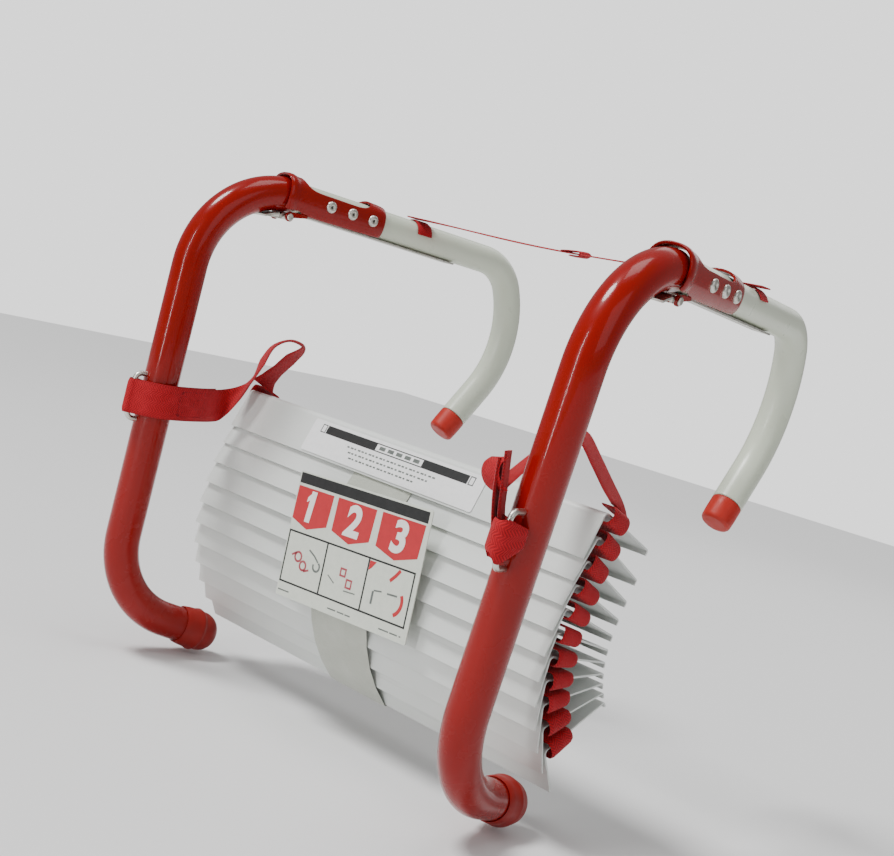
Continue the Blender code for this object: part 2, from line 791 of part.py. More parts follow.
# ---------------------------------------------------------------- belt, card, label
def convex_outline(points):
    """The convex hull of points in a plane, anticlockwise."""
    points = sorted(set(points))

    def half(sequence):
        chain = []
        for point in sequence:
            while len(chain) > 1:
                (ax, ay), (bx, by) = chain[-2], chain[-1]
                if (bx - ax) * (point[1] - ay) - (by - ay) * (point[0] - ax) > 1e-12:
                    break
                chain.pop()
            chain.append(point)
        return chain[:-1]

    return half(points) + half(points[::-1])


def nest_outline(clearance):
    """The tight outline of every rung but the top one, rounded and set off by a clearance."""
    cloud = []
    for frame in RUNGS[1:]:
        for along, up in rung_section():
            y, z = turned_point(frame, along, up)
            for k in range(12):
                angle = math.radians(30 * k)
                cloud.append((y + clearance * math.cos(angle), z + clearance * math.sin(angle)))
    return convex_outline(cloud)


def make_belt():
    outline = nest_outline(RUNG_SHEET / 2 + GAP + BELT_THICKNESS / 2)
    thinned = [outline[0]]
    for point in outline[1:]:
        if math.dist(point, thinned[-1]) > 0.0012:
            thinned.append(point)
    path = [(BELT_X, y, z) for y, z in thinned]
    belt = planar_ribbon("hook_and_loop_belt", path, (1, 0, 0), BELT_WIDTH, BELT_THICKNESS, closed=True)
    finish(belt, "grey_belt")


CARD_SIZE = (0.126, 0.0007, 0.087)
CARD_CENTRE = (0.003, -0.1660, -0.209)
CARD_TURN = -3.0
LABEL_SIZE = (0.166, 0.0004, 0.025)
LABEL_X = -0.006


def make_panel(name, size, location, rotation, look):
    mesh = bpy.data.meshes.new(name)
    edit = bmesh.new()
    bmesh.ops.create_cube(edit, size=1.0, matrix=Matrix.Diagonal((*size, 1.0)))
    edit.to_mesh(mesh)
    edit.free()
    panel = bpy.data.objects.new(name, mesh)
    parts.objects.link(panel)
    finish(panel, look, None, location, rotation)


def make_card_and_label():
    make_panel("instruction_card", CARD_SIZE, CARD_CENTRE, (0, math.radians(CARD_TURN), 0), "card")
    frame = RUNGS[0]
    out = RUNG_SHEET / 2 + GAP + LABEL_SIZE[1] / 2
    y, z = turned_point(frame, -out, -RUNG_LIP / 2 - 0.0015)
    make_panel("top_label", LABEL_SIZE, (LABEL_X, y, z), (frame[2], 0, 0), "label")


def make_spacer(left_tab, right_tab, left_hinge, right_hinge):
    """The flat strap between the two hooks; it ends just short of the tabs sewn over them."""
    lift = Vector((0, 0, HOOK_TUBE_R + 0.002))
    start = left_tab + lift
    end = right_tab + lift
    along = (end - start).normalized()
    across = along.cross(Vector((0, 0, 1))).normalized()
    start += along * (HOOK_TUBE_R + 0.006)
    end -= along * (HOOK_TUBE_R + 0.006)
    middle = start.lerp(end, 0.5) - Vector((0, 0, 0.002))
    path = [start, start.lerp(middle, 0.5) - Vector((0, 0, 0.0007)), middle]
    path += [middle.lerp(end, 0.5) - Vector((0, 0, 0.0007)), end]
    pivot = Vector((0, (left_hinge.y + right_hinge.y) / 2, (left_hinge.z + right_hinge.z) / 2))
    carrier = make_guide("spacer_pivot", pivot)
    strap = planar_ribbon("spacer_strap", [p - pivot for p in path], across, 0.014, 0.0012)
    finish(strap, "red_webbing", carrier)


# ---------------------------------------------------------------- the whole ladder
left_tab_at, left_hinge_at = make_arm("left", LEFT, LEFT_LEAN, LEFT_LEG_LOOP, 0.055)
right_tab_at, right_hinge_at = make_arm("right", RIGHT, RIGHT_LEAN, RIGHT_LEG_LOOP, 0.0)
make_spacer(left_tab_at, right_tab_at, left_hinge_at, right_hinge_at)
make_rungs()
make_webbing("left", LEFT)
make_webbing("right", RIGHT)
make_strap("left_webbing_bight", LEFT_BIGHT, 0.023)
make_strap("right_webbing_bight", RIGHT_BIGHT, 0.023)
make_belt()
make_card_and_label()
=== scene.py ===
"""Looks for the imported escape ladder: fine tubes, webbing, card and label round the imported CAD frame."""
import json
import math

import bmesh
import bpy
from mathutils import Matrix, Vector


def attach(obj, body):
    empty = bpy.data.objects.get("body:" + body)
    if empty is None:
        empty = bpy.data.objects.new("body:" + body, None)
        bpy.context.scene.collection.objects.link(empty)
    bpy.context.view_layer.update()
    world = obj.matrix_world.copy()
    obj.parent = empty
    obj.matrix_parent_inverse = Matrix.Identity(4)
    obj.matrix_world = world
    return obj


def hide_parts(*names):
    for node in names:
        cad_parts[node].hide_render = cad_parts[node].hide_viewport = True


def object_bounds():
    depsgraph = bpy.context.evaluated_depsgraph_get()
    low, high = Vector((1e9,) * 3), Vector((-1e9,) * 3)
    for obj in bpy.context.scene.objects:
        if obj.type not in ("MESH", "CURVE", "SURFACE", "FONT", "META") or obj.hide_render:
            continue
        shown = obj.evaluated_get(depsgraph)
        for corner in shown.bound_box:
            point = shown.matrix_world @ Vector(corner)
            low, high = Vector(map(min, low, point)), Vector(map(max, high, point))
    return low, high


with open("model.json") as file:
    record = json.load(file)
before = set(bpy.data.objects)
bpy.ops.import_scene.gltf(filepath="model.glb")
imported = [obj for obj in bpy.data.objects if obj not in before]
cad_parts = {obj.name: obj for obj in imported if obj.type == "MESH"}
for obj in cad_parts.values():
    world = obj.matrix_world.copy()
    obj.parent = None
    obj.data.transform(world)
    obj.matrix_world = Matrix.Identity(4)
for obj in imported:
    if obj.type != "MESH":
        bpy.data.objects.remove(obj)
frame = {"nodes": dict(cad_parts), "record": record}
CAD_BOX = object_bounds()

# ---------------- camera, light, floor
CAMERA_AT = Vector((0.6600, -0.8492, -0.0454))
CAMERA_RIGHT = Vector((0.6824, 0.6875, 0.2482))
CAMERA_FORWARD = Vector((-0.6952, 0.7154, -0.0701))
CAMERA_LENS = 58.52
CAMERA_SHIFT = (0.0742, -0.0204)
LIGHT_TARGET = Vector((0, -0.1, -0.1))
SURROUND = 0.30
BACKDROP = 1.6
SUN_ENERGY = 3.3
SUN_SPREAD = 0.32
SUN_FROM = Vector((-0.40, -0.55, 1.15))
FLOOR_SIZE = 6


def link_new(name, data):
    obj = bpy.data.objects.new(name, data)
    bpy.context.scene.collection.objects.link(obj)
    return obj


def add_camera():
    data = bpy.data.cameras.new("camera")
    data.lens = CAMERA_LENS
    data.sensor_width = 36.0
    data.shift_x, data.shift_y = CAMERA_SHIFT
    data.clip_start = 0.01
    data.clip_end = 50.0
    camera = link_new("camera", data)
    forward = CAMERA_FORWARD.normalized()
    right = (CAMERA_RIGHT - forward * CAMERA_RIGHT.dot(forward)).normalized()
    up = right.cross(forward)
    turn = Matrix((right, up, -forward)).transposed()
    camera.matrix_world = Matrix.Translation(CAMERA_AT) @ turn.to_4x4()
    bpy.context.scene.camera = camera


def add_area(name, location, size, power, height=None):
    data = bpy.data.lights.new(name, "AREA")
    data.energy = power
    data.size = size
    if height:
        data.shape = "RECTANGLE"
        data.size_y = height
    light = link_new(name, data)
    light.location = location
    light.rotation_euler = (LIGHT_TARGET - Vector(location)).to_track_quat("-Z", "Y").to_euler()


def add_studio():
    """A bright backdrop for the camera, a dim surround, a sun, three soft lights and one thin light."""
    world = bpy.data.worlds.new("studio")
    bpy.context.scene.world = world
    world.use_nodes = True
    tree = world.node_tree
    surround = tree.nodes["Background"]
    backdrop = tree.nodes.new("ShaderNodeBackground")
    for node, strength in ((surround, SURROUND), (backdrop, BACKDROP)):
        node.inputs["Color"].default_value = (1, 1, 1, 1)
        node.inputs["Strength"].default_value = strength
    rays = tree.nodes.new("ShaderNodeLightPath")
    mix = tree.nodes.new("ShaderNodeMixShader")
    tree.links.new(rays.outputs["Is Camera Ray"], mix.inputs[0])
    tree.links.new(surround.outputs[0], mix.inputs[1])
    tree.links.new(backdrop.outputs[0], mix.inputs[2])
    tree.links.new(mix.outputs[0], tree.nodes["World Output"].inputs["Surface"])
    sun = bpy.data.lights.new("key", "SUN")
    sun.energy = SUN_ENERGY
    sun.angle = SUN_SPREAD
    key = link_new("key", sun)
    key.rotation_euler = SUN_FROM.to_track_quat("Z", "Y").to_euler()
    add_area("top", (0.1, 0.0, 1.7), 0.8, 9)
    add_area("side", (1.5, -0.4, 0.6), 1.0, 3)
    add_area("rim", (-0.4, 1.4, 0.9), 1.0, 4)
    add_area("streak", (0.05, -1.8, 0.25), 0.08, 9, 1.0)


# ---------------- materials
MID_NOISE = (0.3, 0.7)


class Look:
    """A Principled material with helpers for its procedural detail."""

    def __init__(self, name, colour, roughness, **sockets):
        self.material = bpy.data.materials.new(name)
        self.material.use_nodes = True
        self.tree = self.material.node_tree
        self.shader = self.tree.nodes["Principled BSDF"]
        self.set("Base Color", (*colour, 1.0))
        self.set("Roughness", roughness)
        for socket, value in sockets.items():
            self.set(socket.replace("_", " "), value)
        self.place = self.node("ShaderNodeTexCoord").outputs["Object"]
        self.normal = None

    def set(self, socket, value):
        self.shader.inputs[socket].default_value = value

    def node(self, kind, inputs=None, **settings):
        """A new node; each input, by name or number, gets a value or a link from another node's socket."""
        node = self.tree.nodes.new(kind)
        for key, value in settings.items():
            setattr(node, key, value)
        for key, value in (inputs or {}).items():
            if isinstance(value, bpy.types.NodeSocket):
                self.link(value, node.inputs[key])
            else:
                node.inputs[key].default_value = value
        return node

    def link(self, source, target):
        self.tree.links.new(source, target)

    def maths(self, operation, a, b=0.0):
        return self.node("ShaderNodeMath", {0: a, 1: b}, operation=operation).outputs[0]

    def noise(self, scale, detail, roughness=0.55, stretch=(1, 1, 1)):
        mapping = self.node("ShaderNodeMapping", {"Scale": stretch, "Vector": self.place})
        place = mapping.outputs["Vector"]
        inputs = {"Scale": scale, "Detail": detail, "Roughness": roughness, "Vector": place}
        return self.node("ShaderNodeTexNoise", inputs).outputs["Fac"]

    def remap(self, value, low, high, to_low, to_high):
        inputs = {"Value": value, "From Min": low, "From Max": high, "To Min": to_low, "To Max": to_high}
        return self.node("ShaderNodeMapRange", inputs).outputs["Result"]

    def mottle(self, value, low, high, amount, colour):
        """Mix a colour over the base colour, from none of it at a low value to an amount at a high one."""
        factor = self.remap(value, low, high, 0.0, amount)
        socket = self.shader.inputs["Base Color"]
        under = socket.links[0].from_socket if socket.is_linked else socket.default_value[:]
        mix = self.node("ShaderNodeMix", {0: factor, 6: under, 7: (*colour, 1.0)}, data_type="RGBA")
        self.link(mix.outputs[2], socket)

    def rough(self, value, to_low, to_high):
        self.link(self.remap(value, *MID_NOISE, to_low, to_high), self.shader.inputs["Roughness"])

    def bump(self, height, distance, strength):
        """Add relief on top of any that is already there."""
        inputs = {"Distance": distance, "Strength": strength, "Height": height}
        if self.normal:
            inputs["Normal"] = self.normal
        self.normal = self.node("ShaderNodeBump", inputs).outputs["Normal"]
        self.link(self.normal, self.shader.inputs["Normal"])


def finish(name, colour, roughness, mottles, rough, bump, **sockets):
    """A surface with mottles of (noise, low, high, amount, colour), an uneven gloss and a fine relief."""
    look = Look(name, colour, roughness, **sockets)
    for noise, low, high, amount, shade in mottles:
        look.mottle(look.noise(*noise), low, high, amount, shade)
    if rough:
        look.rough(look.noise(*rough[0]), *rough[1:])
    look.bump(look.noise(*bump[0]), *bump[1:])
    return look.material


def red_moulding(name, colour, shade, scuff):
    return finish(
        name, colour, 0.42,
        (((40, 4), 0.4, 0.75, 0.6, shade), ((260, 5, 0.75), 0.64, 0.72, 0.4, scuff)),
        ((120, 4), 0.34, 0.55), ((1300, 3), 0.00015, 0.3), Specular_IOR_Level=0.35,
    )


def printed(name, colour, shade, roughness=0.38):
    """Ink or film on the card and the label: a faint mottle and a soft gloss."""
    return finish(
        name, colour, roughness, (((260, 5, 0.7), 0.42, 0.70, 0.65, shade),),
        ((90, 3), roughness - 0.06, roughness + 0.12), ((500, 3), 0.0001, 0.25),
        Coat_Weight=0.15, Coat_Roughness=0.3,
    )


def rung_coat():
    look = Look("rung_coat", (0.72, 0.745, 0.72), 0.42, Metallic=0.1)
    streaks = look.noise(300, 5, 0.6, (0.02, 1, 1))
    look.mottle(look.noise(9, 3), 0.35, 0.75, 0.5, (0.62, 0.65, 0.615))
    look.mottle(streaks, 0.60, 0.72, 0.35, (0.53, 0.55, 0.53))
    look.mottle(look.noise(700, 4, 0.8), 0.68, 0.74, 0.4, (0.42, 0.42, 0.42))
    look.rough(streaks, 0.34, 0.52)
    look.bump(streaks, 0.0001, 0.35)
    look.bump(look.noise(900, 3), 0.0001, 0.18)
    return look.material


CHEVRON = 0.0036
RIB = 0.0019
YARN = 0.0009
SLANT = 0.9
RIB_DEPTH = 0.36
YARN_DEPTH = 0.14
SELVEDGE = (0.0100, 0.0118)


def webbing(name, colour, shade, dust):
    """Herringbone webbing; the weave attribute holds metres across and along the strap."""
    look = Look(name, colour, 0.8, Specular_IOR_Level=0.25, Sheen_Weight=0.08, Sheen_Roughness=0.4)
    place = look.node("ShaderNodeAttribute", attribute_name="weave").outputs["Vector"]
    parts = look.node("ShaderNodeSeparateXYZ", {0: place})
    across = parts.outputs["X"]
    along = parts.outputs["Y"]
    zigzag = look.maths("PINGPONG", across, CHEVRON)
    slant = look.maths("ADD", along, look.maths("MULTIPLY", zigzag, SLANT))
    ribs = look.maths("SINE", look.maths("MULTIPLY", slant, 2 * math.pi / RIB))
    yarns = look.maths("SINE", look.maths("MULTIPLY", across, 2 * math.pi / YARN))
    ribs = look.maths("MULTIPLY", ribs, RIB_DEPTH)
    weave = look.maths("ADD", ribs, look.maths("MULTIPLY", yarns, YARN_DEPTH))
    weave = look.maths("ADD", weave, 0.5)
    look.mottle(weave, 0.75, 0.15, 0.95, shade)
    look.mottle(look.noise(70, 4), 0.45, 0.8, 0.5, dust)
    look.mottle(look.maths("ABSOLUTE", across), *SELVEDGE, 0.35, shade)
    look.bump(weave, 0.0003, 0.9)
    look.bump(look.noise(1600, 3), 0.0002, 0.35)
    return look.material


def belt_fabric():
    look = Look("grey_belt", (0.50, 0.52, 0.45), 0.92, Sheen_Weight=0.4, Sheen_Roughness=0.5)
    fuzz = look.noise(1500, 5, 0.75)
    look.mottle(fuzz, 0.4, 0.65, 0.7, (0.40, 0.42, 0.36))
    look.mottle(look.noise(40, 3), 0.45, 0.8, 0.6, (0.60, 0.62, 0.56))
    look.bump(fuzz, 0.0006, 0.8)
    look.bump(look.noise(180, 4), 0.0008, 0.4)
    return look.material


RED_PAINT = finish(
    "red_paint", (0.26, 0.0035, 0.0018), 0.3,
    (
        ((14, 2), 0.35, 0.75, 0.5, (0.20, 0.0025, 0.0012)),
        ((900, 4, 0.7), 0.70, 0.76, 0.2, (0.34, 0.02, 0.012)),
    ),
    ((60, 4), 0.20, 0.32), ((420, 2), 0.00004, 0.1),
    Specular_IOR_Level=0.15, Coat_Weight=0.32, Coat_Roughness=0.05,
)
WHITE_PAINT = finish(
    "white_paint", (0.60, 0.645, 0.525), 0.32,
    (
        ((18, 3), 0.4, 0.8, 0.5, (0.63, 0.66, 0.56)),
        ((150, 5, 0.7, (1, 0.2, 1)), 0.66, 0.74, 0.5, (0.40, 0.41, 0.37)),
    ),
    ((80, 4), 0.26, 0.42), ((500, 2), 0.0001, 0.2), Coat_Weight=0.2, Coat_Roughness=0.2,
)
RED_MOULDING = red_moulding("red_cap", (0.46, 0.020, 0.010), (0.30, 0.010, 0.006), (0.50, 0.06, 0.035))
FOOT_MOULDING = red_moulding("foot_cap", (0.27, 0.006, 0.003), (0.19, 0.004, 0.002), (0.34, 0.03, 0.015))
ZINC = finish(
    "plated_steel", (0.66, 0.65, 0.60), 0.30,
    (((160, 4), 0.4, 0.7, 0.6, (0.50, 0.48, 0.40)), ((420, 5, 0.8), 0.60, 0.70, 0.5, (0.30, 0.28, 0.24))),
    ((300, 5), 0.20, 0.48), ((800, 4, 0.6, (1, 0.15, 1)), 0.0001, 0.4), Metallic=1.0,
)
# Dark metal for the rivets' punched centres: painted shade standing for the shadow in their hollow.
RECESS_SHADE = finish(
    "rivet_recess_painted_shade", (0.10, 0.095, 0.085), 0.6, (((700, 4), 0.4, 0.7, 1.0, (0.04, 0.035, 0.03)),),
    None, ((900, 3), 0.0002, 0.5), Metallic=0.6,
)
RUNG_COAT = rung_coat()
WEBBING = webbing("red_webbing", (0.47, 0.005, 0.012), (0.20, 0.002, 0.005), (0.50, 0.014, 0.024))
THREAD = webbing("dark_thread", (0.24, 0.004, 0.012), (0.16, 0.003, 0.008), (0.36, 0.02, 0.03))
BELT_FABRIC = belt_fabric()
CARD_STOCK = printed("card_stock", (0.66, 0.69, 0.61), (0.58, 0.62, 0.54))
LABEL_FILM = printed("label_film", (0.86, 0.86, 0.86), (0.78, 0.79, 0.79))
INK_BLACK = printed("ink_black", (0.006, 0.007, 0.007), (0.014, 0.014, 0.014), 0.6)
INK_RED = printed("ink_red", (0.50, 0.010, 0.018), (0.42, 0.010, 0.015))
INK_ROSE = printed("ink_rose", (0.34, 0.03, 0.05), (0.42, 0.10, 0.11))
INK_GREY = printed("ink_grey", (0.11, 0.125, 0.115), (0.18, 0.20, 0.18))
INK_WHITE = printed("ink_white", (0.84, 0.83, 0.78), (0.76, 0.75, 0.70))

# ---------------- mesh helpers
FINE = 48
BEND_STEP = 3.0
TUBE_BEVEL = 0.0005
STRAP_THICKNESS = 0.0016


def ramp(value, start, end):
    """0 before the start, 1 past the end, straight in between."""
    return min(max((value - start) / (end - start), 0.0), 1.0)


def near(items, i, closed=False):
    """An item by its place: a closed run wraps round, an open one stops at its ends."""
    return items[i % len(items) if closed else min(max(i, 0), len(items) - 1)]


def circle(sides):
    return [(math.cos(2 * math.pi * k / sides), math.sin(2 * math.pi * k / sides)) for k in range(sides)]


def add_object(name, mesh, material, body, replaced=()):
    """Link a piece whose vertices are already in the row frame, and say where it belongs."""
    obj = link_new(name, mesh)
    if not mesh.materials:
        mesh.materials.append(material)
    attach(obj, body)
    if replaced:
        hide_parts(*replaced)
    return obj


def clean_mesh(mesh, merge):
    """Join vertices closer than the merge distance, and turn the faces outward."""
    edit = bmesh.new()
    edit.from_mesh(mesh)
    if merge:
        bmesh.ops.remove_doubles(edit, verts=edit.verts, dist=merge)
    bmesh.ops.recalc_face_normals(edit, faces=edit.faces)
    edit.to_mesh(mesh)
    edit.free()


def build_mesh(name, verts, faces, sharp=40, merge=0.0):
    mesh = bpy.data.meshes.new(name)
    mesh.from_pydata([tuple(v) for v in verts], [], faces)
    clean_mesh(mesh, merge)
    mesh.shade_smooth()
    if sharp:
        mesh.set_sharp_from_angle(angle=math.radians(sharp))
    return mesh


def ring_faces(rings, count, closed=False):
    faces = []
    last = rings if closed else rings - 1
    for i in range(last):
        j = (i + 1) % rings
        for k in range(count):
            m = (k + 1) % count
            faces.append((i * count + k, i * count + m, j * count + m, j * count + k))
    if not closed:
        faces.append(tuple(range(count))[::-1])
        faces.append(tuple((rings - 1) * count + k for k in range(count)))
    return faces


def tube_mesh(name, path, radius, place, sides=FINE):
    """A round tube along points in the local YZ plane, with a small bevel at each end."""
    points = [Vector((0, y, z)) for y, z in path]
    rings = []
    for i, point in enumerate(points):
        ahead = near(points, i + 1) - near(points, i - 1)
        across = ahead.normalized().cross(Vector((1, 0, 0)))
        rings.append((point, across, radius))
    first = (points[1] - points[0]).normalized() * TUBE_BEVEL
    last = (points[-1] - points[-2]).normalized() * TUBE_BEVEL
    rings[0] = (rings[0][0] + first, rings[0][1], radius)
    rings[-1] = (rings[-1][0] - last, rings[-1][1], radius)
    rings.insert(0, (points[0], rings[0][1], radius - TUBE_BEVEL))
    rings.append((points[-1], rings[-1][1], radius - TUBE_BEVEL))
    verts = []
    for point, across, size in rings:
        for c, s in circle(sides):
            verts.append(place @ (point + Vector((size * c, 0, 0)) + across * size * s))
    return build_mesh(name, verts, ring_faces(len(rings), sides))


def turned_mesh(name, profile, place, sides=FINE, closed=False):
    """A body of revolution about local Z from (radius, height) points, which may be a closed loop."""
    verts = []
    for radius, height in profile:
        for c, s in circle(sides):
            verts.append(place @ Vector((radius * c, radius * s, height)))
    return build_mesh(name, verts, ring_faces(len(profile), sides, closed))


def walk(start, heading, moves):
    """Points in a plane along straight runs (length,) and bends (radius, turn in degrees)."""
    y, z = start
    angle = math.radians(heading)
    points = [(y, z)]
    for move in moves:
        if len(move) == 1:
            y += move[0] * math.cos(angle)
            z += move[0] * math.sin(angle)
            points.append((y, z))
            continue
        radius, turn = move
        side = math.copysign(1.0, turn)
        steps = max(2, round(abs(turn) / BEND_STEP))
        centre_y = y - side * radius * math.sin(angle)
        centre_z = z + side * radius * math.cos(angle)
        for _ in range(steps):
            angle += math.radians(turn) / steps
            y = centre_y + side * radius * math.sin(angle)
            z = centre_z - side * radius * math.cos(angle)
            points.append((y, z))
    return points, math.degrees(angle)


def arc(centre, radius, start, end, steps):
    points = []
    for i in range(steps + 1):
        angle = math.radians(start + (end - start) * i / steps)
        points.append((centre[0] + radius * math.cos(angle), centre[1] + radius * math.sin(angle)))
    return points


SECTION = 10


def ribbon_mesh(name, rail_a, rail_b, thickness, closed=False):
    """Webbing between two rails, with round selvedges; weave holds metres across and along it."""
    count = len(rail_a)
    middles = [(a + b) / 2 for a, b in zip(rail_a, rail_b)]
    verts = []
    weave = []
    travelled = 0.0
    for i in range(count):
        if i:
            travelled += (middles[i] - middles[i - 1]).length
        ahead = near(middles, i + 1, closed) - near(middles, i - 1, closed)
        a = rail_a[i]
        b = rail_b[i]
        normal = (b - a).cross(ahead).normalized()
        for k in range(2 * SECTION):
            share = k / SECTION if k <= SECTION else 2 - k / SECTION
            side = 1 if k < SECTION else -1
            bulge = max(0.0, 1 - abs(2 * share - 1) ** 8) ** 0.5 * thickness / 2
            verts.append(a.lerp(b, share) + normal * bulge * side)
            weave.append(((share - 0.5) * (b - a).length, travelled, 0.0))
    mesh = build_mesh(name, verts, ring_faces(count, 2 * SECTION, closed), 60)
    layer = mesh.attributes.new("weave", "FLOAT_VECTOR", "POINT")
    for item, value in zip(layer.data, weave):
        item.vector = value
    return mesh


def smooth_route(stations, steps=10, closed=False):
    """Points and width directions on a smooth curve through (point, width direction) stations."""
    places = [Vector(p) for p, _ in stations]
    widths = [Vector(w).normalized() for _, w in stations]
    count = len(places)
    route = []
    for i in range(count if closed else count - 1):
        before, here, there, after = (near(places, i + k, closed) for k in (-1, 0, 1, 2))
        next_width = near(widths, i + 1, closed)
        for step in range(steps):
            t = step / steps
            place = 0.5 * (
                2 * here
                + (there - before) * t
                + (2 * before - 5 * here + 4 * there - after) * t * t
                + (3 * here - before - 3 * there + after) * t * t * t
            )
            route.append((place, widths[i].lerp(next_width, t).normalized()))
    if not closed:
        route.append((places[-1], widths[-1]))
    return route


def strap_piece(name, route, width, body, replaced=(), thickness=STRAP_THICKNESS):
    rail_a = [place - across * width / 2 for place, across in route]
    rail_b = [place + across * width / 2 for place, across in route]
    mesh = ribbon_mesh(name, rail_a, rail_b, thickness)
    return add_object(name, mesh, WEBBING, body, replaced)


STITCH = 0.0024
STITCH_GAP = 0.0009
THREAD_R = 0.0004


def stitch_piece(name, lines, body):
    """Rows of thread along straight lines (start, end), as one object of separate stitches."""
    edit = bmesh.new()
    for start, end in lines:
        run = end - start
        count = max(1, round(run.length / (STITCH + STITCH_GAP)))
        turn = run.to_track_quat("X", "Z").to_matrix().to_4x4()
        for i in range(count):
            place = Matrix.Translation(start + run * ((i + 0.5) / count)) @ turn
            size = Matrix.Diagonal((STITCH / 2, THREAD_R, THREAD_R, 1.0))
            bmesh.ops.create_uvsphere(edit, u_segments=8, v_segments=6, radius=1.0, matrix=place @ size)
    mesh = bpy.data.meshes.new(name)
    edit.to_mesh(mesh)
    edit.free()
    mesh.shade_smooth()
    return add_object(name, mesh, THREAD, body)


def soften_edges(obj, width):
    edge = obj.modifiers.new("soft_edges", "BEVEL")
    edge.width = width
    edge.segments = 2
    edge.limit_method = "ANGLE"
    edge.angle_limit = math.radians(50)


def keep_with(node, material, bevel):
    """Give a CAD node its finished material, and soften its edges."""
    obj = frame["nodes"][node]
    obj.data.materials.clear()
    obj.data.materials.append(material)
    soften_edges(obj, bevel)


# ---------------- the arms and hooks
ARM_R = 0.0127
HOOK_R = 0.0111
HALF_LEG = 0.0995
TOP_BEND = (0.0674, -89.0)
LOW_BEND = (0.0622, 78.0)
FOOT_RUN = 0.036
HINGE_Y = 0.064
HINGE_DROP = 0.0157
HOOK_START_Y = 0.0715
HOOK_SLOPE = -1.3
HOOK_MOVES = [(0.1875,), (0.036, -61.0), (0.085, -60.5), (0.031,)]
RIVET_Y = (0.095, 0.1150, 0.1345)
GAP = 0.0003

UP_PATH, _ = walk((0, 0), 90, [(HALF_LEG,), TOP_BEND])
DOWN_PATH, FOOT_HEADING = walk((0, 0), -90, [(HALF_LEG,), LOW_BEND, (FOOT_RUN,)])
ARM_TOP_Z = UP_PATH[-1][1]
HINGE_AT = Vector((0, HINGE_Y, ARM_TOP_Z - HINGE_DROP))


def arm_place(side):
    """Where an arm's own frame stands, from its hinge in the record."""
    joints = frame["record"]["behaviour"]["joints"]
    hinge = next(joint for joint in joints if joint["name"] == side + "_hook_fold")
    axis = Vector(hinge["axis"]).normalized()
    level = Vector((-axis.y, axis.x, 0)).normalized()
    turn = Matrix((axis, level, axis.cross(level))).transposed().to_4x4()
    return Matrix.Translation(Vector(hinge["pos_m"])) @ turn @ Matrix.Translation(-HINGE_AT)


def hook_z(y):
    return ARM_TOP_Z + (y - HOOK_START_Y) * math.tan(math.radians(HOOK_SLOPE))


def end_place(place, end, heading):
    """A frame at a tube's end whose -Z points out of the tube."""
    return place @ Matrix.Translation((0, *end)) @ Matrix.Rotation(math.radians(90 + heading), 4, "X")


SLEEVE_PROFILE = (
    (0.0575, 0.0148), (0.0586, 0.0154), (0.0600, 0.0157), (0.0625, 0.0157), (0.0640, 0.0153),
    (0.0658, 0.0149), (0.0680, 0.0147), (0.0710, 0.0147), (0.0950, 0.0146), (0.1150, 0.0142),
    (0.1330, 0.0139), (0.1400, 0.0137), (0.1440, 0.0134), (0.1465, 0.0130),
)
SLEEVE_WALL = 0.0015
SLEEVE_SQUARENESS = 0.8
CHEEK_COLUMNS = 18
LIP_LOW = 128.0
CHEEK_LOW = 140.0
LIP_END = 0.0710
LIP_BLEND = 0.004
WINDOW = (0.0700, 0.1335)
WINDOW_HALF = 66.0
WINDOW_ROWS = 26
EAR_X = 0.0105
EAR_R = 0.0034
EAR_HALF = 0.0010
EAR_LENGTH = 0.0150
EAR_DROP = 0.0115
EAR_FRONT = 0.0035
EAR_STEP = 0.002
RIVET_PROFILE = (
    (0.0002, -0.0010), (0.0043, -0.0010), (0.0044, 0.0002), (0.0040, 0.0009), (0.0032, 0.0015),
    (0.0020, 0.0017), (0.0013, 0.0014), (0.0010, 0.0008), (0.0002, 0.0007),
)
RECESS_SHADE_R = 0.0009
RECESS_SHADE_RISE = 0.0008


def profile_at(table, x):
    for (x0, y0), (x1, y1) in zip(table, table[1:]):
        if x <= x1:
            return y0 + (y1 - y0) * (x - x0) / (x1 - x0)
    return table[-1][1]


def window_half(y):
    """Half-angle of the window in the sleeve's top at a station; its ends are rounded."""
    share = 2 * (y - WINDOW[0]) / (WINDOW[1] - WINDOW[0]) - 1
    if abs(share) >= 1:
        return 0.0
    return WINDOW_HALF * (1 - abs(share) ** 7) ** 0.45


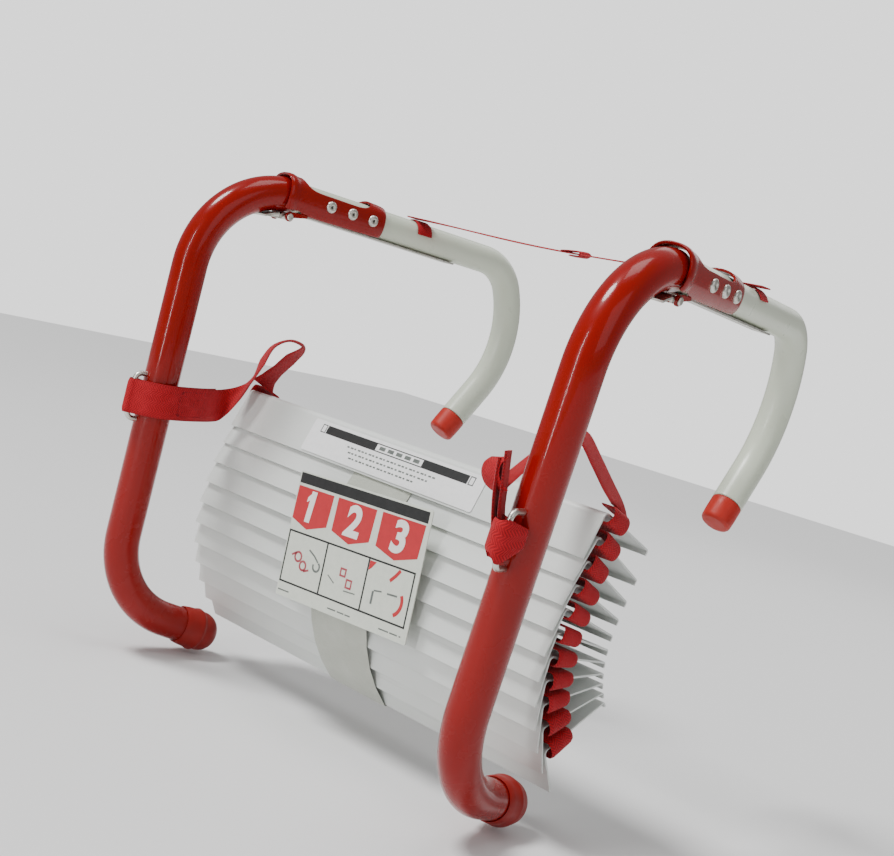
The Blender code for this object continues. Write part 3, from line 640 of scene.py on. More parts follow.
def make_sleeve(side, place):
    """The sleeve's two cheeks with the bridges over the tube before and after the window."""
    verts = []
    faces = []
    rows = [y for y, _ in SLEEVE_PROFILE if y < WINDOW[0]]
    for i in range(WINDOW_ROWS + 1):
        share = 0.5 - 0.5 * math.cos(math.pi * i / WINDOW_ROWS)
        rows.append(WINDOW[0] + (WINDOW[1] - WINDOW[0]) * share)
    rows += [y for y, _ in SLEEVE_PROFILE if y > WINDOW[1] + 0.001]
    for sign in (1, -1):
        base = len(verts)
        for y in rows:
            size = profile_at(SLEEVE_PROFILE, y)
            low = LIP_LOW + (CHEEK_LOW - LIP_LOW) * ramp(y, LIP_END, LIP_END + LIP_BLEND)
            high = window_half(y)
            for k in range(CHEEK_COLUMNS + 1):
                angle = math.radians(high + (low - high) * k / CHEEK_COLUMNS)
                x = abs(math.sin(angle)) ** SLEEVE_SQUARENESS * size * sign
                z = math.copysign(abs(math.cos(angle)) ** SLEEVE_SQUARENESS, math.cos(angle)) * size
                verts.append(place @ Vector((x, y, hook_z(y) + z)))
        for i in range(len(rows) - 1):
            for k in range(CHEEK_COLUMNS):
                a = base + i * (CHEEK_COLUMNS + 1) + k
                face = (a, a + 1, a + CHEEK_COLUMNS + 2, a + CHEEK_COLUMNS + 1)
                faces.append(face if sign < 0 else face[::-1])
    name = side + "_sleeve_shell"
    mesh = build_mesh(name, verts, faces, None, 1e-6)
    sleeve = add_object(name, mesh, RED_PAINT, side + "_hook", (side + "_hook_sleeve",))
    wall = sleeve.modifiers.new("wall", "SOLIDIFY")
    wall.thickness = SLEEVE_WALL
    wall.offset = -1
    wall.use_even_offset = True
    soften_edges(sleeve, 0.0004)


def make_ears(side, place):
    """The sleeve's two ears, from its cheeks down round the hinge pin."""
    top = ARM_TOP_Z - EAR_DROP
    outline = arc((HINGE_Y, HINGE_AT.z), EAR_R, 120, 360, 28)
    rear = HINGE_Y + EAR_LENGTH
    outline += [(rear, top - EAR_STEP), (rear, top), (HINGE_Y + EAR_FRONT, top)]
    inner = 1 if side == "left" else -1
    for sign in (-1, 1):
        name = side + ("_inner_ear" if sign == inner else "_outer_ear")
        faces_x = (sign * EAR_X - EAR_HALF, sign * EAR_X + EAR_HALF)
        ear = [place @ Vector((x, y, z)) for x in faces_x for y, z in outline]
        mesh = build_mesh(name, ear, ring_faces(2, len(outline)))
        soften_edges(add_object(name, mesh, RED_PAINT, side + "_hook"), 0.0003)


def make_rivets(side, place):
    """Domed tubular rivets: a bright rim round a punched centre painted dark as shade, on both cheeks."""
    for number, y in enumerate(RIVET_Y, 1):
        face = profile_at(SLEEVE_PROFILE, y) + GAP
        profile = [(radius, face + rise) for radius, rise in RIVET_PROFILE]
        for sign, end in ((1, "a"), (-1, "b")):
            turn = Matrix.Rotation(sign * math.pi / 2, 4, "Y")
            at = place @ Matrix.Translation((0, y, hook_z(y))) @ turn
            name = side + "_rivet_" + str(number) + end
            mesh = turned_mesh(name, profile, at, 32)
            mesh.materials.append(ZINC)
            mesh.materials.append(RECESS_SHADE)
            # Faces round the floor of the shallow hollow take the dark material: painted shade in the
            # rivet's centre.
            centre = at @ Vector((0, 0, face + RECESS_SHADE_RISE))
            for polygon in mesh.polygons:
                if (polygon.center - centre).length < RECESS_SHADE_R:
                    polygon.material_index = 1
            replaced = (side + "_sleeve_rivet_" + str(number),) if end == "a" else ()
            add_object(name, mesh, ZINC, side + "_hook", replaced)


# ---------------- caps, plugs and staples
CORE = 0.0010
CAP_WALL = 0.0017
CAP_CROWN = 0.008
CAP_GRIP = 0.023
CAP_BEAD = 0.0088
CAP_DOME = 0.0090
DOME_START = 0.0040
DOME_STEPS = 9
PLUG_LENGTH = 0.018
PLUG_ROUND = 0.0028


def make_cap(side, place, end, heading):
    """The foot's moulded cap: a smooth grip, a bead near the end and a domed crown."""
    bore = ARM_R + GAP
    outer = bore + CAP_WALL
    profile = [
        (bore, CAP_GRIP - 0.0002), (bore + 0.0004, CAP_GRIP), (bore + 0.0010, CAP_GRIP - 0.0010),
        (outer, CAP_GRIP - 0.0060), (outer + 0.0003, CAP_BEAD + 0.0028), (outer + 0.0009, CAP_BEAD + 0.0013),
        (outer + 0.0012, CAP_BEAD), (outer + 0.0008, CAP_BEAD - 0.0012), (outer, CAP_BEAD - 0.0022),
        (outer - 0.0001, DOME_START + 0.0010),
    ]
    for step in range(1, DOME_STEPS + 1):
        angle = math.pi / 2 * step / DOME_STEPS
        radius = outer - CAP_DOME * (1 - math.cos(angle))
        profile.append((radius, DOME_START - (CAP_CROWN + DOME_START) * math.sin(angle)))
    profile += [(CORE, -CAP_CROWN), (CORE, -GAP - 0.001), (bore - 0.001, -GAP - 0.001), (bore, -GAP)]
    name = side + "_foot_cap_moulding"
    mesh = turned_mesh(name, profile, end_place(place, end, heading), closed=True)
    add_object(name, mesh, FOOT_MOULDING, "ladder", (side + "_foot_cap",))


def make_plug(side, place, end, heading):
    """The plug in the hook's tip, rounded at its outer edge."""
    edge = HOOK_R - 0.0001
    profile = [(CORE, 0.0), (edge - 0.0006, 0.0), (edge, -0.0006), (edge, -0.0100), (edge - 0.0002, -0.0145)]
    for angle in (0.1, 0.5, 0.9, 1.3, 1.57):
        radius = edge - 0.0030 + PLUG_ROUND * math.cos(angle)
        profile.append((radius, PLUG_ROUND - PLUG_ROUND * math.sin(angle) - PLUG_LENGTH))
    profile += [(0.004, -PLUG_LENGTH), (CORE, -PLUG_LENGTH)]
    at = end_place(place, end, heading) @ Matrix.Translation((0, 0, -GAP))
    name = side + "_hook_plug_moulding"
    mesh = turned_mesh(name, profile, at)
    add_object(name, mesh, RED_MOULDING, side + "_hook", (side + "_hook_plug",))


STAPLE_R = 0.0019
STAPLE_BEND = 0.0048
STAPLE_SEAT = 0.004
STAPLE_BAR_Y = {"left": -0.0205, "right": -0.0243}
STAPLE_TOP_Z = 0.0168
STAPLE_LOW_Z = -0.0160


def make_staple(side, place):
    """The wire staple on the leg, its two ends let into the tube."""
    bend = STAPLE_BEND
    bar = STAPLE_BAR_Y[side] + bend
    seat = STAPLE_SEAT - ARM_R
    path = [(seat, STAPLE_TOP_Z)] + arc((bar, STAPLE_TOP_Z - bend), bend, 90, 180, 10)
    path += arc((bar, STAPLE_LOW_Z + bend), bend, 180, 270, 10) + [(seat, STAPLE_LOW_Z)]
    name = side + "_wire_staple"
    mesh = tube_mesh(name, path, STAPLE_R, place, 20)
    add_object(name, mesh, ZINC, "ladder", (side + "_strap_staple",))


def make_arm(side):
    place = arm_place(side)
    name = side + "_arm_fine_tube"
    mesh = tube_mesh(name, DOWN_PATH[:0:-1] + UP_PATH, ARM_R, place)
    add_object(name, mesh, RED_PAINT, "ladder", (side + "_arm_tube",))
    make_cap(side, place, DOWN_PATH[-1], FOOT_HEADING)
    make_staple(side, place)
    for part in ("_hinge_plate", "_hinge_pin", "_latch_strip"):
        keep_with(side + part, ZINC, 0.0002)

    path, heading = walk((HOOK_START_Y, hook_z(HOOK_START_Y)), HOOK_SLOPE, HOOK_MOVES)
    name = side + "_hook_fine_tube"
    mesh = tube_mesh(name, path, HOOK_R, place)
    add_object(name, mesh, WHITE_PAINT, side + "_hook", (side + "_hook_tube",))
    make_plug(side, place, path[-1], heading)
    make_sleeve(side, place)
    make_ears(side, place)
    make_rivets(side, place)


# ---------------- straps at the arms
UPRIGHT = (0, 0, 1)
ALONG_VIEW = (-0.7, 0.7, 0)
ALONG_PLATE = (0, 0.934, -0.358)
RIGHT_LEG_LOOP = (
    (7.6, -15.6), (5.6, -22.5), (2.5, -29.0), (-2.0, -31.0), (-6.6, -28.0), (-9.6, -22.8), (-9.8, -18.8),
    (-8.2, -17.6), (-6.0, -19.4), (-2.0, -21.2), (3.0, -18.8), (5.4, -15.4), (6.6, -14.8),
)
LEFT_BIGHT = (
    ((-167.6, -165.0, -147.2), UPRIGHT),
    ((-165.8, -157.0, -143.0), (-0.25, 0.35, 0.9)),
    ((-163.4, -150.0, -135.0), (-0.5, 0.6, 0.62)),
    ((-162.6, -143.5, -123.5), (-0.65, 0.7, 0.3)),
    ((-163.8, -137.0, -109.0), (-0.85, 0.52, 0.07)),
    ((-162.0, -131.5, -95.8), (-0.80, 0.60, 0.0)),
    ((-153.5, -125.0, -88.6), ALONG_VIEW),
    ((-145.0, -119.5, -89.4), ALONG_VIEW),
    ((-144.6, -118.6, -93.6), (-0.62, 0.77, -0.15)),
    ((-154.0, -119.5, -102.5), (-0.48, 0.82, -0.30)),
    ((-162.6, -121.0, -112.8), (-0.48, 0.82, -0.30)),
    ((-168.4, -123.0, -121.2), (-0.33, 0.90, -0.28)),
    ((-170.7, -124.5, -127.8), ALONG_PLATE),
)
RIGHT_BIGHT = (
    ((161.0, -229.0, -124.5), (-0.77, 0.63, 0.12)),
    ((154.5, -214.0, -119.5), (-0.77, 0.63, 0.12)),
    ((149.0, -194.0, -109.5), (-0.72, 0.68, 0.15)),
    ((145.5, -173.0, -97.0), (-0.62, 0.76, 0.18)),
    ((144.0, -158.0, -89.5), (-0.50, 0.84, 0.20)),
    ((147.0, -147.0, -92.0), (-0.39, 0.89, 0.23)),
    ((154.2, -139.0, -104.0), (-0.39, 0.89, 0.23)),
    ((160.5, -131.0, -115.8), (-0.36, 0.91, 0.18)),
    ((165.5, -125.5, -124.0), (-0.25, 0.95, 0.00)),
    ((167.0, -122.5, -128.8), ALONG_PLATE),
)
LEFT_INNER_RUN = (
    (-0.6, 45.4), (8.0, 29.2), (14.7, 8.0), (14.8, -3.6), (9.6, -12.8), (2.6, -16.6), (-1.6, -17.0),
    (-3.3, -19.2), (-3.4, -22.2), (-0.8, -24.2), (2.4, -23.4), (4.6, -20.5), (12.0, -13.5), (17.0, -4.0),
    (17.0, 8.0), (10.4, 30.0),
)
TAIL_TURN = (-0.455, 0.886, 0.007)
CURL_TURN = (-0.93, 0.264, -0.18)
TAILS = (
    ("right_long_tail", TAIL_TURN, 0.016, (
        (172.4, -233.6, -147.0), (170.2, -235.0, -137.0), (168.6, -235.5, -126.0),
        (167.0, -236.0, -115.0), (165.6, -236.4, -104.6),
    )),
    ("right_short_tail", TAIL_TURN, 0.016, (
        (170.2, -236.4, -147.6), (167.7, -237.4, -137.1), (165.8, -238.2, -126.4),
        (164.6, -238.6, -116.0), (164.0, -238.8, -109.0),
    )),
    ("right_tail_curl", CURL_TURN, 0.017, (
        (163.1, -239.4, -109.6), (161.2, -241.4, -113.0), (161.4, -241.8, -118.6),
        (163.8, -240.0, -123.8), (167.0, -237.3, -126.4),
    )),
)
STRAP_WIDTH = 0.025
LEFT_WIDTH = 0.0245
BIGHT_WIDTH = 0.023
LEFT_RISE = 0.055
RISE_START = -0.025
PACK_SIDE_PINCH = 0.010
OUTER_PINCH = 0.005
TOP_PINCH_SHARE = 0.3
LEFT_OUTER_FACE = ((-0.004, 0.0170), (0.008, 0.0170), (0.030, 0.0104), (0.0474, 0.0002))
SEAM_HALF = 0.0090
SEAM_NEAR = 0.009
SEAM_FAR = 0.033


def in_metres(stations):
    return [(Vector(p) / 1000, w) for p, w in stations]


def leg_stations(loop, rise, place):
    """A leg loop's points, given in the arm's frame in millimetres, as stations in the row frame."""
    turn = place.to_3x3()
    stations = []
    for x, y in loop:
        at = Vector((x / 1000, y / 1000, rise * (y / 1000 - RISE_START)))
        stations.append((place @ at, turn @ Vector(UPRIGHT)))
    return stations


def make_leg_straps():
    """Left, one run from its sewn end to its bight; right, a pouch on the leg, a bight and loose tails."""
    left = leg_stations(LEFT_INNER_RUN, LEFT_RISE, arm_place("left"))
    strap_piece(
        "left_leg_webbing", smooth_route(left + in_metres(LEFT_BIGHT), 9), LEFT_WIDTH, "ladder",
        ("left_arm_strap", "left_webbing_bight"),
    )
    right = leg_stations(RIGHT_LEG_LOOP, 0.0, arm_place("right"))
    inward = arm_place("right").inverted()
    low_rail = []
    top_rail = []
    for spot, across in smooth_route(right, 8, True):
        local = inward @ spot
        lean = local.x + local.y
        pinch = PACK_SIDE_PINCH * ramp(lean, -0.024, -0.008) + OUTER_PINCH * ramp(lean, -0.028, -0.033)
        low_rail.append(spot - across * (STRAP_WIDTH / 2 - pinch))
        top_rail.append(spot + across * (STRAP_WIDTH / 2 - TOP_PINCH_SHARE * pinch))
    mesh = ribbon_mesh("right_leg_webbing", low_rail, top_rail, STRAP_THICKNESS, True)
    add_object("right_leg_webbing", mesh, WEBBING, "ladder", ("right_arm_strap",))
    route = smooth_route(in_metres(RIGHT_BIGHT))
    strap_piece("right_bight_webbing", route, BIGHT_WIDTH, "ladder", ("right_webbing_bight",))
    for name, turn, width, points in TAILS:
        strap_piece(name, smooth_route(in_metres([(point, turn) for point in points])), width, "ladder")


def make_left_stitching():
    """A sewn box with a cross through it, where the left strap is doubled beside the leg."""
    place = arm_place("left")

    def on_strap(y, z):
        x = profile_at(LEFT_OUTER_FACE, y) + 0.0010
        return place @ Vector((x, y, z + LEFT_RISE * (y - RISE_START)))

    def row(start, end, pieces=4):
        spots = []
        for i in range(pieces + 1):
            y, z = (a + (b - a) * i / pieces for a, b in zip(start, end))
            spots.append(on_strap(y, z))
        return list(zip(spots, spots[1:]))

    low_near, low_far = (SEAM_NEAR, -SEAM_HALF), (SEAM_FAR, -SEAM_HALF)
    high_near, high_far = (SEAM_NEAR, SEAM_HALF), (SEAM_FAR, SEAM_HALF)
    lines = row(low_near, low_far) + row(high_near, high_far)
    lines += row(low_near, high_near, 2) + row(low_far, high_far, 2)
    lines += row(low_near, high_far) + row(high_near, low_far)
    stitch_piece("left_strap_stitching", lines, "ladder")


# ---------------- rungs and their webbing
RUNG_COUNT = 11
RUNG_LENGTH = 0.337
RUNG_LIP = 0.031
RUNG_PLATE = 0.057
RUNG_SHEET = 0.0012
RUNG_PITCH = 0.0149
NEST_GAP = 0.0024
BELT_ROOM = 0.0022
FIRST_RUNG = (-0.1362, -0.131)
WEB_WIDTH = 0.0195
WEB_INSET = 0.0018
WEB_REACH = 0.026
WEB_BULGE = 0.0028
WEB_UNEVEN = 0.0007
WEB_THICKNESS = 0.0015
FOLD_SHARE = 0.34
TOP_FLAP = 0.009
TOP_ANGLE = -21.0
FAN_START = -26.0
FAN_SPREAD = 58.0


def fan_angle(index):
    if index == 0:
        return TOP_ANGLE
    share = max(0.0, (index - 1.5) / (RUNG_COUNT - 2.5))
    return FAN_START + FAN_SPREAD * share ** 1.5


def rung_frames():
    frames = []
    y = FIRST_RUNG[0]
    for index in range(RUNG_COUNT):
        angle = math.radians(fan_angle(index))
        frames.append((y, FIRST_RUNG[1] - index * RUNG_PITCH, angle))
        y += RUNG_PITCH * math.tan(angle) + NEST_GAP
        if index == 0:
            y += BELT_ROOM
    return frames


RUNGS = rung_frames()


def turned_point(place, along, up):
    y, z, angle = place
    return (
        y + along * math.cos(angle) - up * math.sin(angle),
        z + along * math.sin(angle) + up * math.cos(angle),
    )


def plate_pitch(index, along):
    lower = min(index + 1, RUNG_COUNT - 1)
    y0, z0 = turned_point(RUNGS[lower - 1], along, 0)
    y1, z1 = turned_point(RUNGS[lower], along, 0)
    return math.hypot(y1 - y0, z1 - z0)


def web_rail(sign, along):
    """One edge of the side webbing: round each plate's end, then a hairpin in the gap below it."""
    end = RUNG_LENGTH / 2 + 0.001
    inner = RUNG_LENGTH / 2 - WEB_REACH
    rail = []
    for index, place in enumerate(RUNGS):
        half = FOLD_SHARE * min(plate_pitch(index, along), plate_pitch(max(index - 1, 0), along))
        bulge = WEB_BULGE + WEB_UNEVEN * math.sin(2.1 * index + 0.6 * sign)
        if index == 0:
            y, z = turned_point(place, along, half)
            rail.append(Vector((sign * (end - TOP_FLAP), y, z)))
        for x, up in arc((0, 0), 1.0, 90, -90, 16):
            y, z = turned_point(place, along, half * up)
            rail.append(Vector((sign * (end + bulge * x), y, z)))
        y, z = turned_point(place, along, -half)
        if index == RUNG_COUNT - 1:
            rail.append(Vector((sign * inner, y, z)))
            break
        upper = Vector((0, y, z))
        lower_half = FOLD_SHARE * min(plate_pitch(index + 1, along), plate_pitch(index, along))
        lower = Vector((0, *turned_point(RUNGS[index + 1], along, lower_half)))
        middle = (upper + lower) / 2
        radius = (upper - lower) / 2
        for x, up in arc((0, 0), 1.0, 90, -90, 8):
            point = middle + radius * up
            rail.append(Vector((sign * (inner - radius.length * x), point.y, point.z)))
    return rail


def make_ladder_webbing():
    for side, sign in (("left", -1), ("right", 1)):
        rail_a = web_rail(sign, WEB_INSET)
        rail_b = web_rail(sign, WEB_INSET + WEB_WIDTH)
        name = side + "_folded_webbing"
        mesh = ribbon_mesh(name, rail_a, rail_b, WEB_THICKNESS)
        add_object(name, mesh, WEBBING, "ladder", (side + "_ladder_webbing",))


def finish_rungs():
    for index in range(RUNG_COUNT):
        keep_with("rung_" + str(index + 1).zfill(2), RUNG_COAT, 0.0003)


# ---------------- belt
BELT_WIDTH = 0.056
BELT_X = -0.005
BELT_THICKNESS = 0.0010
BELT_STEP = 0.003


def convex_outline(points):
    points = sorted(set(points))

    def half(sequence):
        chain = []
        for point in sequence:
            while len(chain) > 1:
                (ax, ay), (bx, by) = chain[-2], chain[-1]
                if (bx - ax) * (point[1] - ay) - (by - ay) * (point[0] - ax) > 1e-12:
                    break
                chain.pop()
            chain.append(point)
        return chain[:-1]

    return half(points) + half(points[::-1])


def nest_outline(clearance):
    """The tight outline of every rung but the top one, set off by a clearance."""
    corners = [(0.0, -RUNG_LIP), (0.0, -0.003), (0.0009, -0.0009), (0.003, 0.0)]
    corners += [(RUNG_PLATE - 0.0015, 0.0), (RUNG_PLATE, -0.0015), (RUNG_PLATE, -0.0035)]
    cloud = []
    for place in RUNGS[1:]:
        for along, up in corners:
            y, z = turned_point(place, along, up)
            cloud += [(y + clearance * c, z + clearance * s) for c, s in circle(24)]
    return convex_outline(cloud)


def make_belt():
    outline = nest_outline(RUNG_SHEET / 2 + GAP + BELT_THICKNESS / 2)
    dense = []
    for (y0, z0), (y1, z1) in zip(outline, outline[1:] + outline[:1]):
        pieces = max(1, round(math.hypot(y1 - y0, z1 - z0) / BELT_STEP))
        dense += [(y0 + (y1 - y0) * i / pieces, z0 + (z1 - z0) * i / pieces) for i in range(pieces)]
    rail_a = [Vector((BELT_X - BELT_WIDTH / 2, y, z)) for y, z in dense]
    rail_b = [Vector((BELT_X + BELT_WIDTH / 2, y, z)) for y, z in dense]
    mesh = ribbon_mesh("belt_fabric", rail_a, rail_b, BELT_THICKNESS, True)
    add_object("belt_fabric", mesh, BELT_FABRIC, "ladder", ("hook_and_loop_belt",))


# ---------------- card and label
CARD_SIZE = (0.126, 0.087)
CARD_AT = Vector((0.003, -0.1660, -0.209))
CARD_TURN = math.radians(-3.0)
LABEL_SIZE = (0.166, 0.025)
LABEL_X = -0.006
CARD_HALF = 0.00035
LABEL_HALF = 0.0002
INK = 0.00008
INK_START = 0.00001
CAP_HEIGHT = 0.72
NUMERAL_SIZE = 0.0205
NUMERAL_BOLD = 0.0011


def sheet_place(centre, size, turn):
    """A frame at a sheet's top left front corner: X to the right, Y down, Z out of the print."""
    axes = Matrix(((1, 0, 0), (0, 0, -1), (0, -1, 0))).to_4x4()
    return Matrix.Translation(centre) @ turn @ axes @ Matrix.Translation((-size[0] / 2, -size[1] / 2, 0))


def slab_mesh(name, outlines, place, low, high):
    """Flat shapes in millimetres on a sheet, each a thin closed slab between two heights."""
    verts = []
    faces = []
    for outline in outlines:
        faces += [tuple(len(verts) + i for i in face) for face in ring_faces(2, len(outline))]
        for height in (low, high):
            verts += [place @ Vector((x / 1000, y / 1000, height)) for x, y in outline]
    return build_mesh(name, verts, faces, 30)


def box_outline(x0, y0, x1, y1):
    return [(x0, y0), (x1, y0), (x1, y1), (x0, y1)]


def round_box(x0, y0, x1, y1, radius):
    left, right, top, bottom = x0 + radius, x1 - radius, y0 + radius, y1 - radius
    points = []
    for quarter, corner in enumerate(((right, top), (right, bottom), (left, bottom), (left, top))):
        points += arc(corner, radius, 90 * quarter - 90, 90 * quarter, 5)
    return points


def stroke(points, width):
    """The outline of a line of constant width through points."""
    left = []
    right = []
    for i, (x, y) in enumerate(points):
        x0, y0 = near(points, i - 1)
        x1, y1 = near(points, i + 1)
        size = math.hypot(x1 - x0, y1 - y0)
        nx, ny = -(y1 - y0) / size * width / 2, (x1 - x0) / size * width / 2
        left.append((x + nx, y + ny))
        right.append((x - nx, y - ny))
    return left + right[::-1]


def ring_strokes(centre, radius, width):
    """A drawn ring, as two half strokes."""
    first = stroke(arc(centre, radius, 0, 180, 12), width)
    return [first, stroke(arc(centre, radius, 180, 360, 12), width)]


def frame_strokes(x0, y0, x1, y1, line):
    return [
        box_outline(x0, y0, x1, y0 + line),
        box_outline(x0, y1 - line, x1, y1),
        box_outline(x0, y0 + line, x0 + line, y1 - line),
        box_outline(x1 - line, y0 + line, x1, y1 - line),
    ]


def print_piece(name, outlines, place, material, base, layer=0):
    low = base + layer * INK + INK_START
    mesh = slab_mesh(name, outlines, place, low, low + INK)
    add_object(name, mesh, material, "ladder")


def digit_piece(name, character, centre, place, base):
    """A bold white numeral standing a print's thickness above its badge."""
    curve = bpy.data.curves.new(name, "FONT")
    curve.body = character
    curve.size = NUMERAL_SIZE / CAP_HEIGHT
    curve.offset = NUMERAL_BOLD
    curve.extrude = INK / 2
    curve.shear = 0.12
    curve.align_x = "CENTER"
    text = link_new(name, curve)
    bpy.context.view_layer.update()
    mesh = bpy.data.meshes.new_from_object(text.evaluated_get(bpy.context.evaluated_depsgraph_get()))
    bpy.data.objects.remove(text)
    corners = [v.co.copy() for v in mesh.vertices]
    middle = Vector([(min(c[i] for c in corners) + max(c[i] for c in corners)) / 2 for i in range(3)])
    flip = Matrix.Diagonal((1, -1, -1, 1))
    at = Matrix.Translation((centre[0] / 1000, centre[1] / 1000, base + 2.6 * INK))
    mesh.transform(place @ at @ flip @ Matrix.Translation(-middle))
    mesh.materials.clear()
    clean_mesh(mesh, 1e-7)
    add_object(name, mesh, INK_WHITE, "ladder")


def make_card():
    place = sheet_place(CARD_AT, CARD_SIZE, Matrix.Rotation(CARD_TURN, 4, "Y"))
    width, height = CARD_SIZE[0] * 1000, CARD_SIZE[1] * 1000
    mesh = slab_mesh("card_panel", [round_box(0, 0, width, height, 1.2)], place, -CARD_HALF, CARD_HALF)
    add_object("card_panel", mesh, CARD_STOCK, "ladder", ("instruction_card",))

    def ink(name, outlines, material, layer=0):
        print_piece("card_" + name, outlines, place, material, CARD_HALF, layer)

    ink("black_band", [[(1, 1), (123.5, 1.5), (123.5, 9), (1, 8.2)]], INK_BLACK)
    badges = []
    for left, right, tip in ((1.0, 36.5, 16.5), (41.0, 78.0, 58.5), (83.5, 122.5, 101.5)):
        badges.append([(left, 10.2), (right, 10.4), (right - 1.5, 32.5), (tip, 38.2), (left - 0.5, 33.0)])
    ink("badges", badges, INK_RED)
    ink("numeral_1_flag", [[(16.6, 12.3), (12.2, 16.4), (11.6, 19.9), (15.6, 17.6)]], INK_WHITE, 1)
    for character, x in (("1", 16.5), ("2", 58.5), ("3", 102.0)):
        digit_piece("card_numeral_" + character, character, (x, 22.5), place, CARD_HALF)
    lines = frame_strokes(0.8, 41.0, 122.5, 77.5, 1.2)
    lines += [box_outline(39.5, 42.2, 40.8, 76.3), box_outline(80.0, 42.2, 81.3, 76.3)]
    ink("frame_lines", lines, INK_BLACK)

    clamp_rings = ring_strokes((14.5, 57.5), 3.2, 1.5) + ring_strokes((20.5, 62.5), 3.0, 1.5)
    clamp_rings += [stroke([(8, 57.5), (12, 55)], 1.4), stroke([(22, 66), (27, 64)], 1.4)]
    open_boxes = frame_strokes(56.5, 54.0, 62.5, 60.0, 1.3) + frame_strokes(63.5, 60.0, 69.5, 66.5, 1.3)
    ink("rose_drawings", clamp_rings + open_boxes, INK_ROSE)
    grey = (
        ([(24, 50.5), (30, 53.5), (34.5, 57)], 1.2),
        (arc((33.5, 60), 3.2, -60, 200, 10), 1.5),
        ([(63, 68.5), (74, 68.0)], 0.8),
        ([(46, 62), (53, 66)], 0.8),
        ([(89.5, 61.5), (89.5, 70)], 1.8),
        ([(90, 61), (97, 60)], 1.0),
        ([(102, 60), (111, 59.5)], 1.2),
    )
    ink("grey_drawings", [stroke(points, width) for points, width in grey], INK_GREY)
    arrows = [stroke(arc((106, 63), 10, -30, 62, 12), 2.6)]
    arrows.append(stroke([(102, 51.5), (106, 47.5), (109.5, 43)], 2.4))
    arrows.append([(81.5, 43.0), (87.5, 43.0), (84, 47.5), (81.5, 49.5)])
    ink("red_arrows", arrows, INK_RED)
    words = ((1.5, 12.5), (52, 60), (61.5, 68), (69, 74), (101, 110), (111, 118), (119.5, 121))
    ink("caption_bars", [box_outline(x0, 82.6, x1, 83.5) for x0, x1 in words], INK_GREY)


def make_label():
    turn = Matrix.Rotation(RUNGS[0][2], 4, "X")
    out = RUNG_SHEET / 2 + GAP + 0.0002
    y, z = turned_point(RUNGS[0], -out, -RUNG_LIP / 2 - 0.0015)
    place = sheet_place(Vector((LABEL_X, y, z)), LABEL_SIZE, turn)
    width, height = LABEL_SIZE[0] * 1000, LABEL_SIZE[1] * 1000
    mesh = slab_mesh("label_film", [round_box(0, 0, width, height, 1.5)], place, -LABEL_HALF, LABEL_HALF)
    add_object("label_film", mesh, LABEL_FILM, "ladder", ("top_label",))
    bars = [box_outline(15, 2.4, 65, 8.6), box_outline(111, 2.4, 152, 8.6)]
    bars += frame_strokes(9.5, 2.4, 14.2, 8.6, 0.6) + frame_strokes(153, 2.4, 157.5, 8.6, 0.6)
    bars += frame_strokes(65, 2.4, 111, 8.6, 0.7)
    print_piece("label_black_bars", bars, place, INK_BLACK, LABEL_HALF)
    dashes = [box_outline(69 + 8.2 * i, 4.2, 74.5 + 8.2 * i, 6.8) for i in range(5)]
    for row, (start, count) in enumerate(((41, 24), (44, 22), (47, 18))):
        y = 11.6 + 3.7 * row
        for i in range(count):
            x = start + 3.6 * i
            dashes.append(box_outline(x, y, x + 2.2 + 0.6 * math.sin(i * 2.3 + row), y + 1.1))
    print_piece("label_grey_dashes", dashes, place, INK_GREY, LABEL_HALF)


# ---------------- spacer strap
TAB_Y = 0.1865
TAB_CLEAR = 0.0007
SPACER_WIDTH = 0.014
SPACER_THICKNESS = 0.0011
SPACER_LIFT = 0.0024
SPACER_OVERHANG = (0.008, 0.010)
SPACER_SAG = 0.0022
SPACER_RIPPLE = 0.0006
SPACER_TWIST = math.radians(6)
SPACER_SPANS = 14
KEEPER_SPAN = 7
KEEPER_SHIFT = 0.006
KEEPER_WIDTH = 0.0142
KEEPER = (
    (-0.009, 0.0009), (-0.002, 0.0017), (0.006, 0.0020), (0.0085, 0.0004), (0.006, -0.0016),
    (-0.001, -0.0015),
)


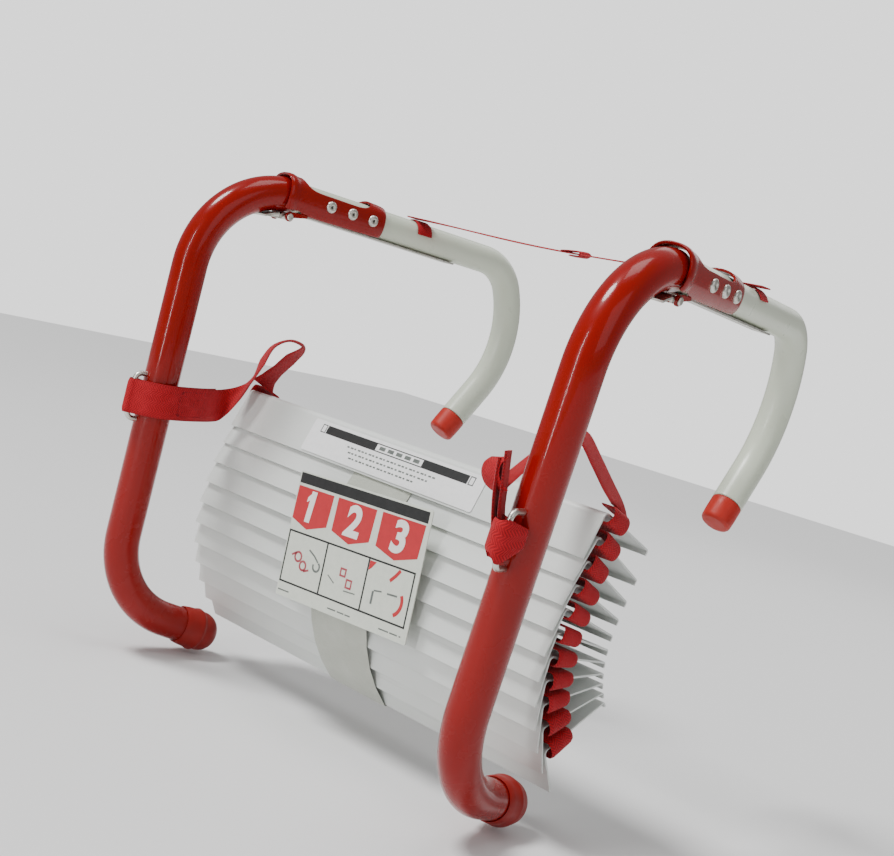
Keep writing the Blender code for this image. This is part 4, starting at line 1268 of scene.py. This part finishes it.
def make_spacer():
    """A saddle tab round each hook, and the strap between them with its folded keeper."""
    centres = {}
    for side, sign in (("left", -1), ("right", 1)):
        place = arm_place(side)
        centre = Vector((0, TAB_Y, hook_z(TAB_Y)))
        width = place.to_3x3() @ Vector((0, 1, 0))
        ring = arc((0, 0), HOOK_R + GAP + TAB_CLEAR, 8, 152, 12)
        stations = [(place @ (centre + Vector((-sign * x, 0, z))), width) for x, z in ring]
        strap_piece(
            side + "_saddle_tab", smooth_route(stations, 3), SPACER_WIDTH, side + "_hook",
            (side + "_spacer_tab",), SPACER_THICKNESS,
        )
        centres[side] = place @ centre
    lift = Vector((0, 0, HOOK_R + SPACER_LIFT))
    start = centres["left"] + lift
    end = centres["right"] + lift
    along = (end - start).normalized()
    across = along.cross(Vector((0, 0, 1))).normalized()
    start -= along * SPACER_OVERHANG[0]
    end += along * SPACER_OVERHANG[1]
    stations = []
    for i in range(SPACER_SPANS + 1):
        share = i / SPACER_SPANS
        sag = -SPACER_SAG * math.sin(math.pi * share) + SPACER_RIPPLE * math.sin(9 * share + 1)
        twist = Matrix.Rotation(SPACER_TWIST * math.sin(math.pi * share), 3, along)
        stations.append((start.lerp(end, share) + Vector((0, 0, sag)), twist @ across))
    route = smooth_route(stations, 6)
    strap_piece("spacer_webbing", route, SPACER_WIDTH, "spacer", ("spacer_strap",), SPACER_THICKNESS)
    spot, width = stations[KEEPER_SPAN]
    fold = spot + along * KEEPER_SHIFT
    route = smooth_route([(fold + along * x + Vector((0, 0, z)), width) for x, z in KEEPER], 6)
    strap_piece("spacer_keeper", route, KEEPER_WIDTH, "spacer", (), SPACER_THICKNESS)


def add_floor():
    bpy.ops.mesh.primitive_plane_add(size=FLOOR_SIZE, location=(0, 0, CAD_BOX[0][2] - 0.001))
    floor = bpy.context.object
    floor.name = "floor"
    look = Look("floor_paper", (0.76, 0.76, 0.76), 0.9)
    look.bump(look.noise(300, 3), 0.0002, 0.2)
    floor.data.materials.append(look.material)


add_camera()
add_studio()
add_floor()
make_arm("left")
make_arm("right")
make_leg_straps()
make_left_stitching()
finish_rungs()
make_ladder_webbing()
make_belt()
make_card()
make_label()
make_spacer()
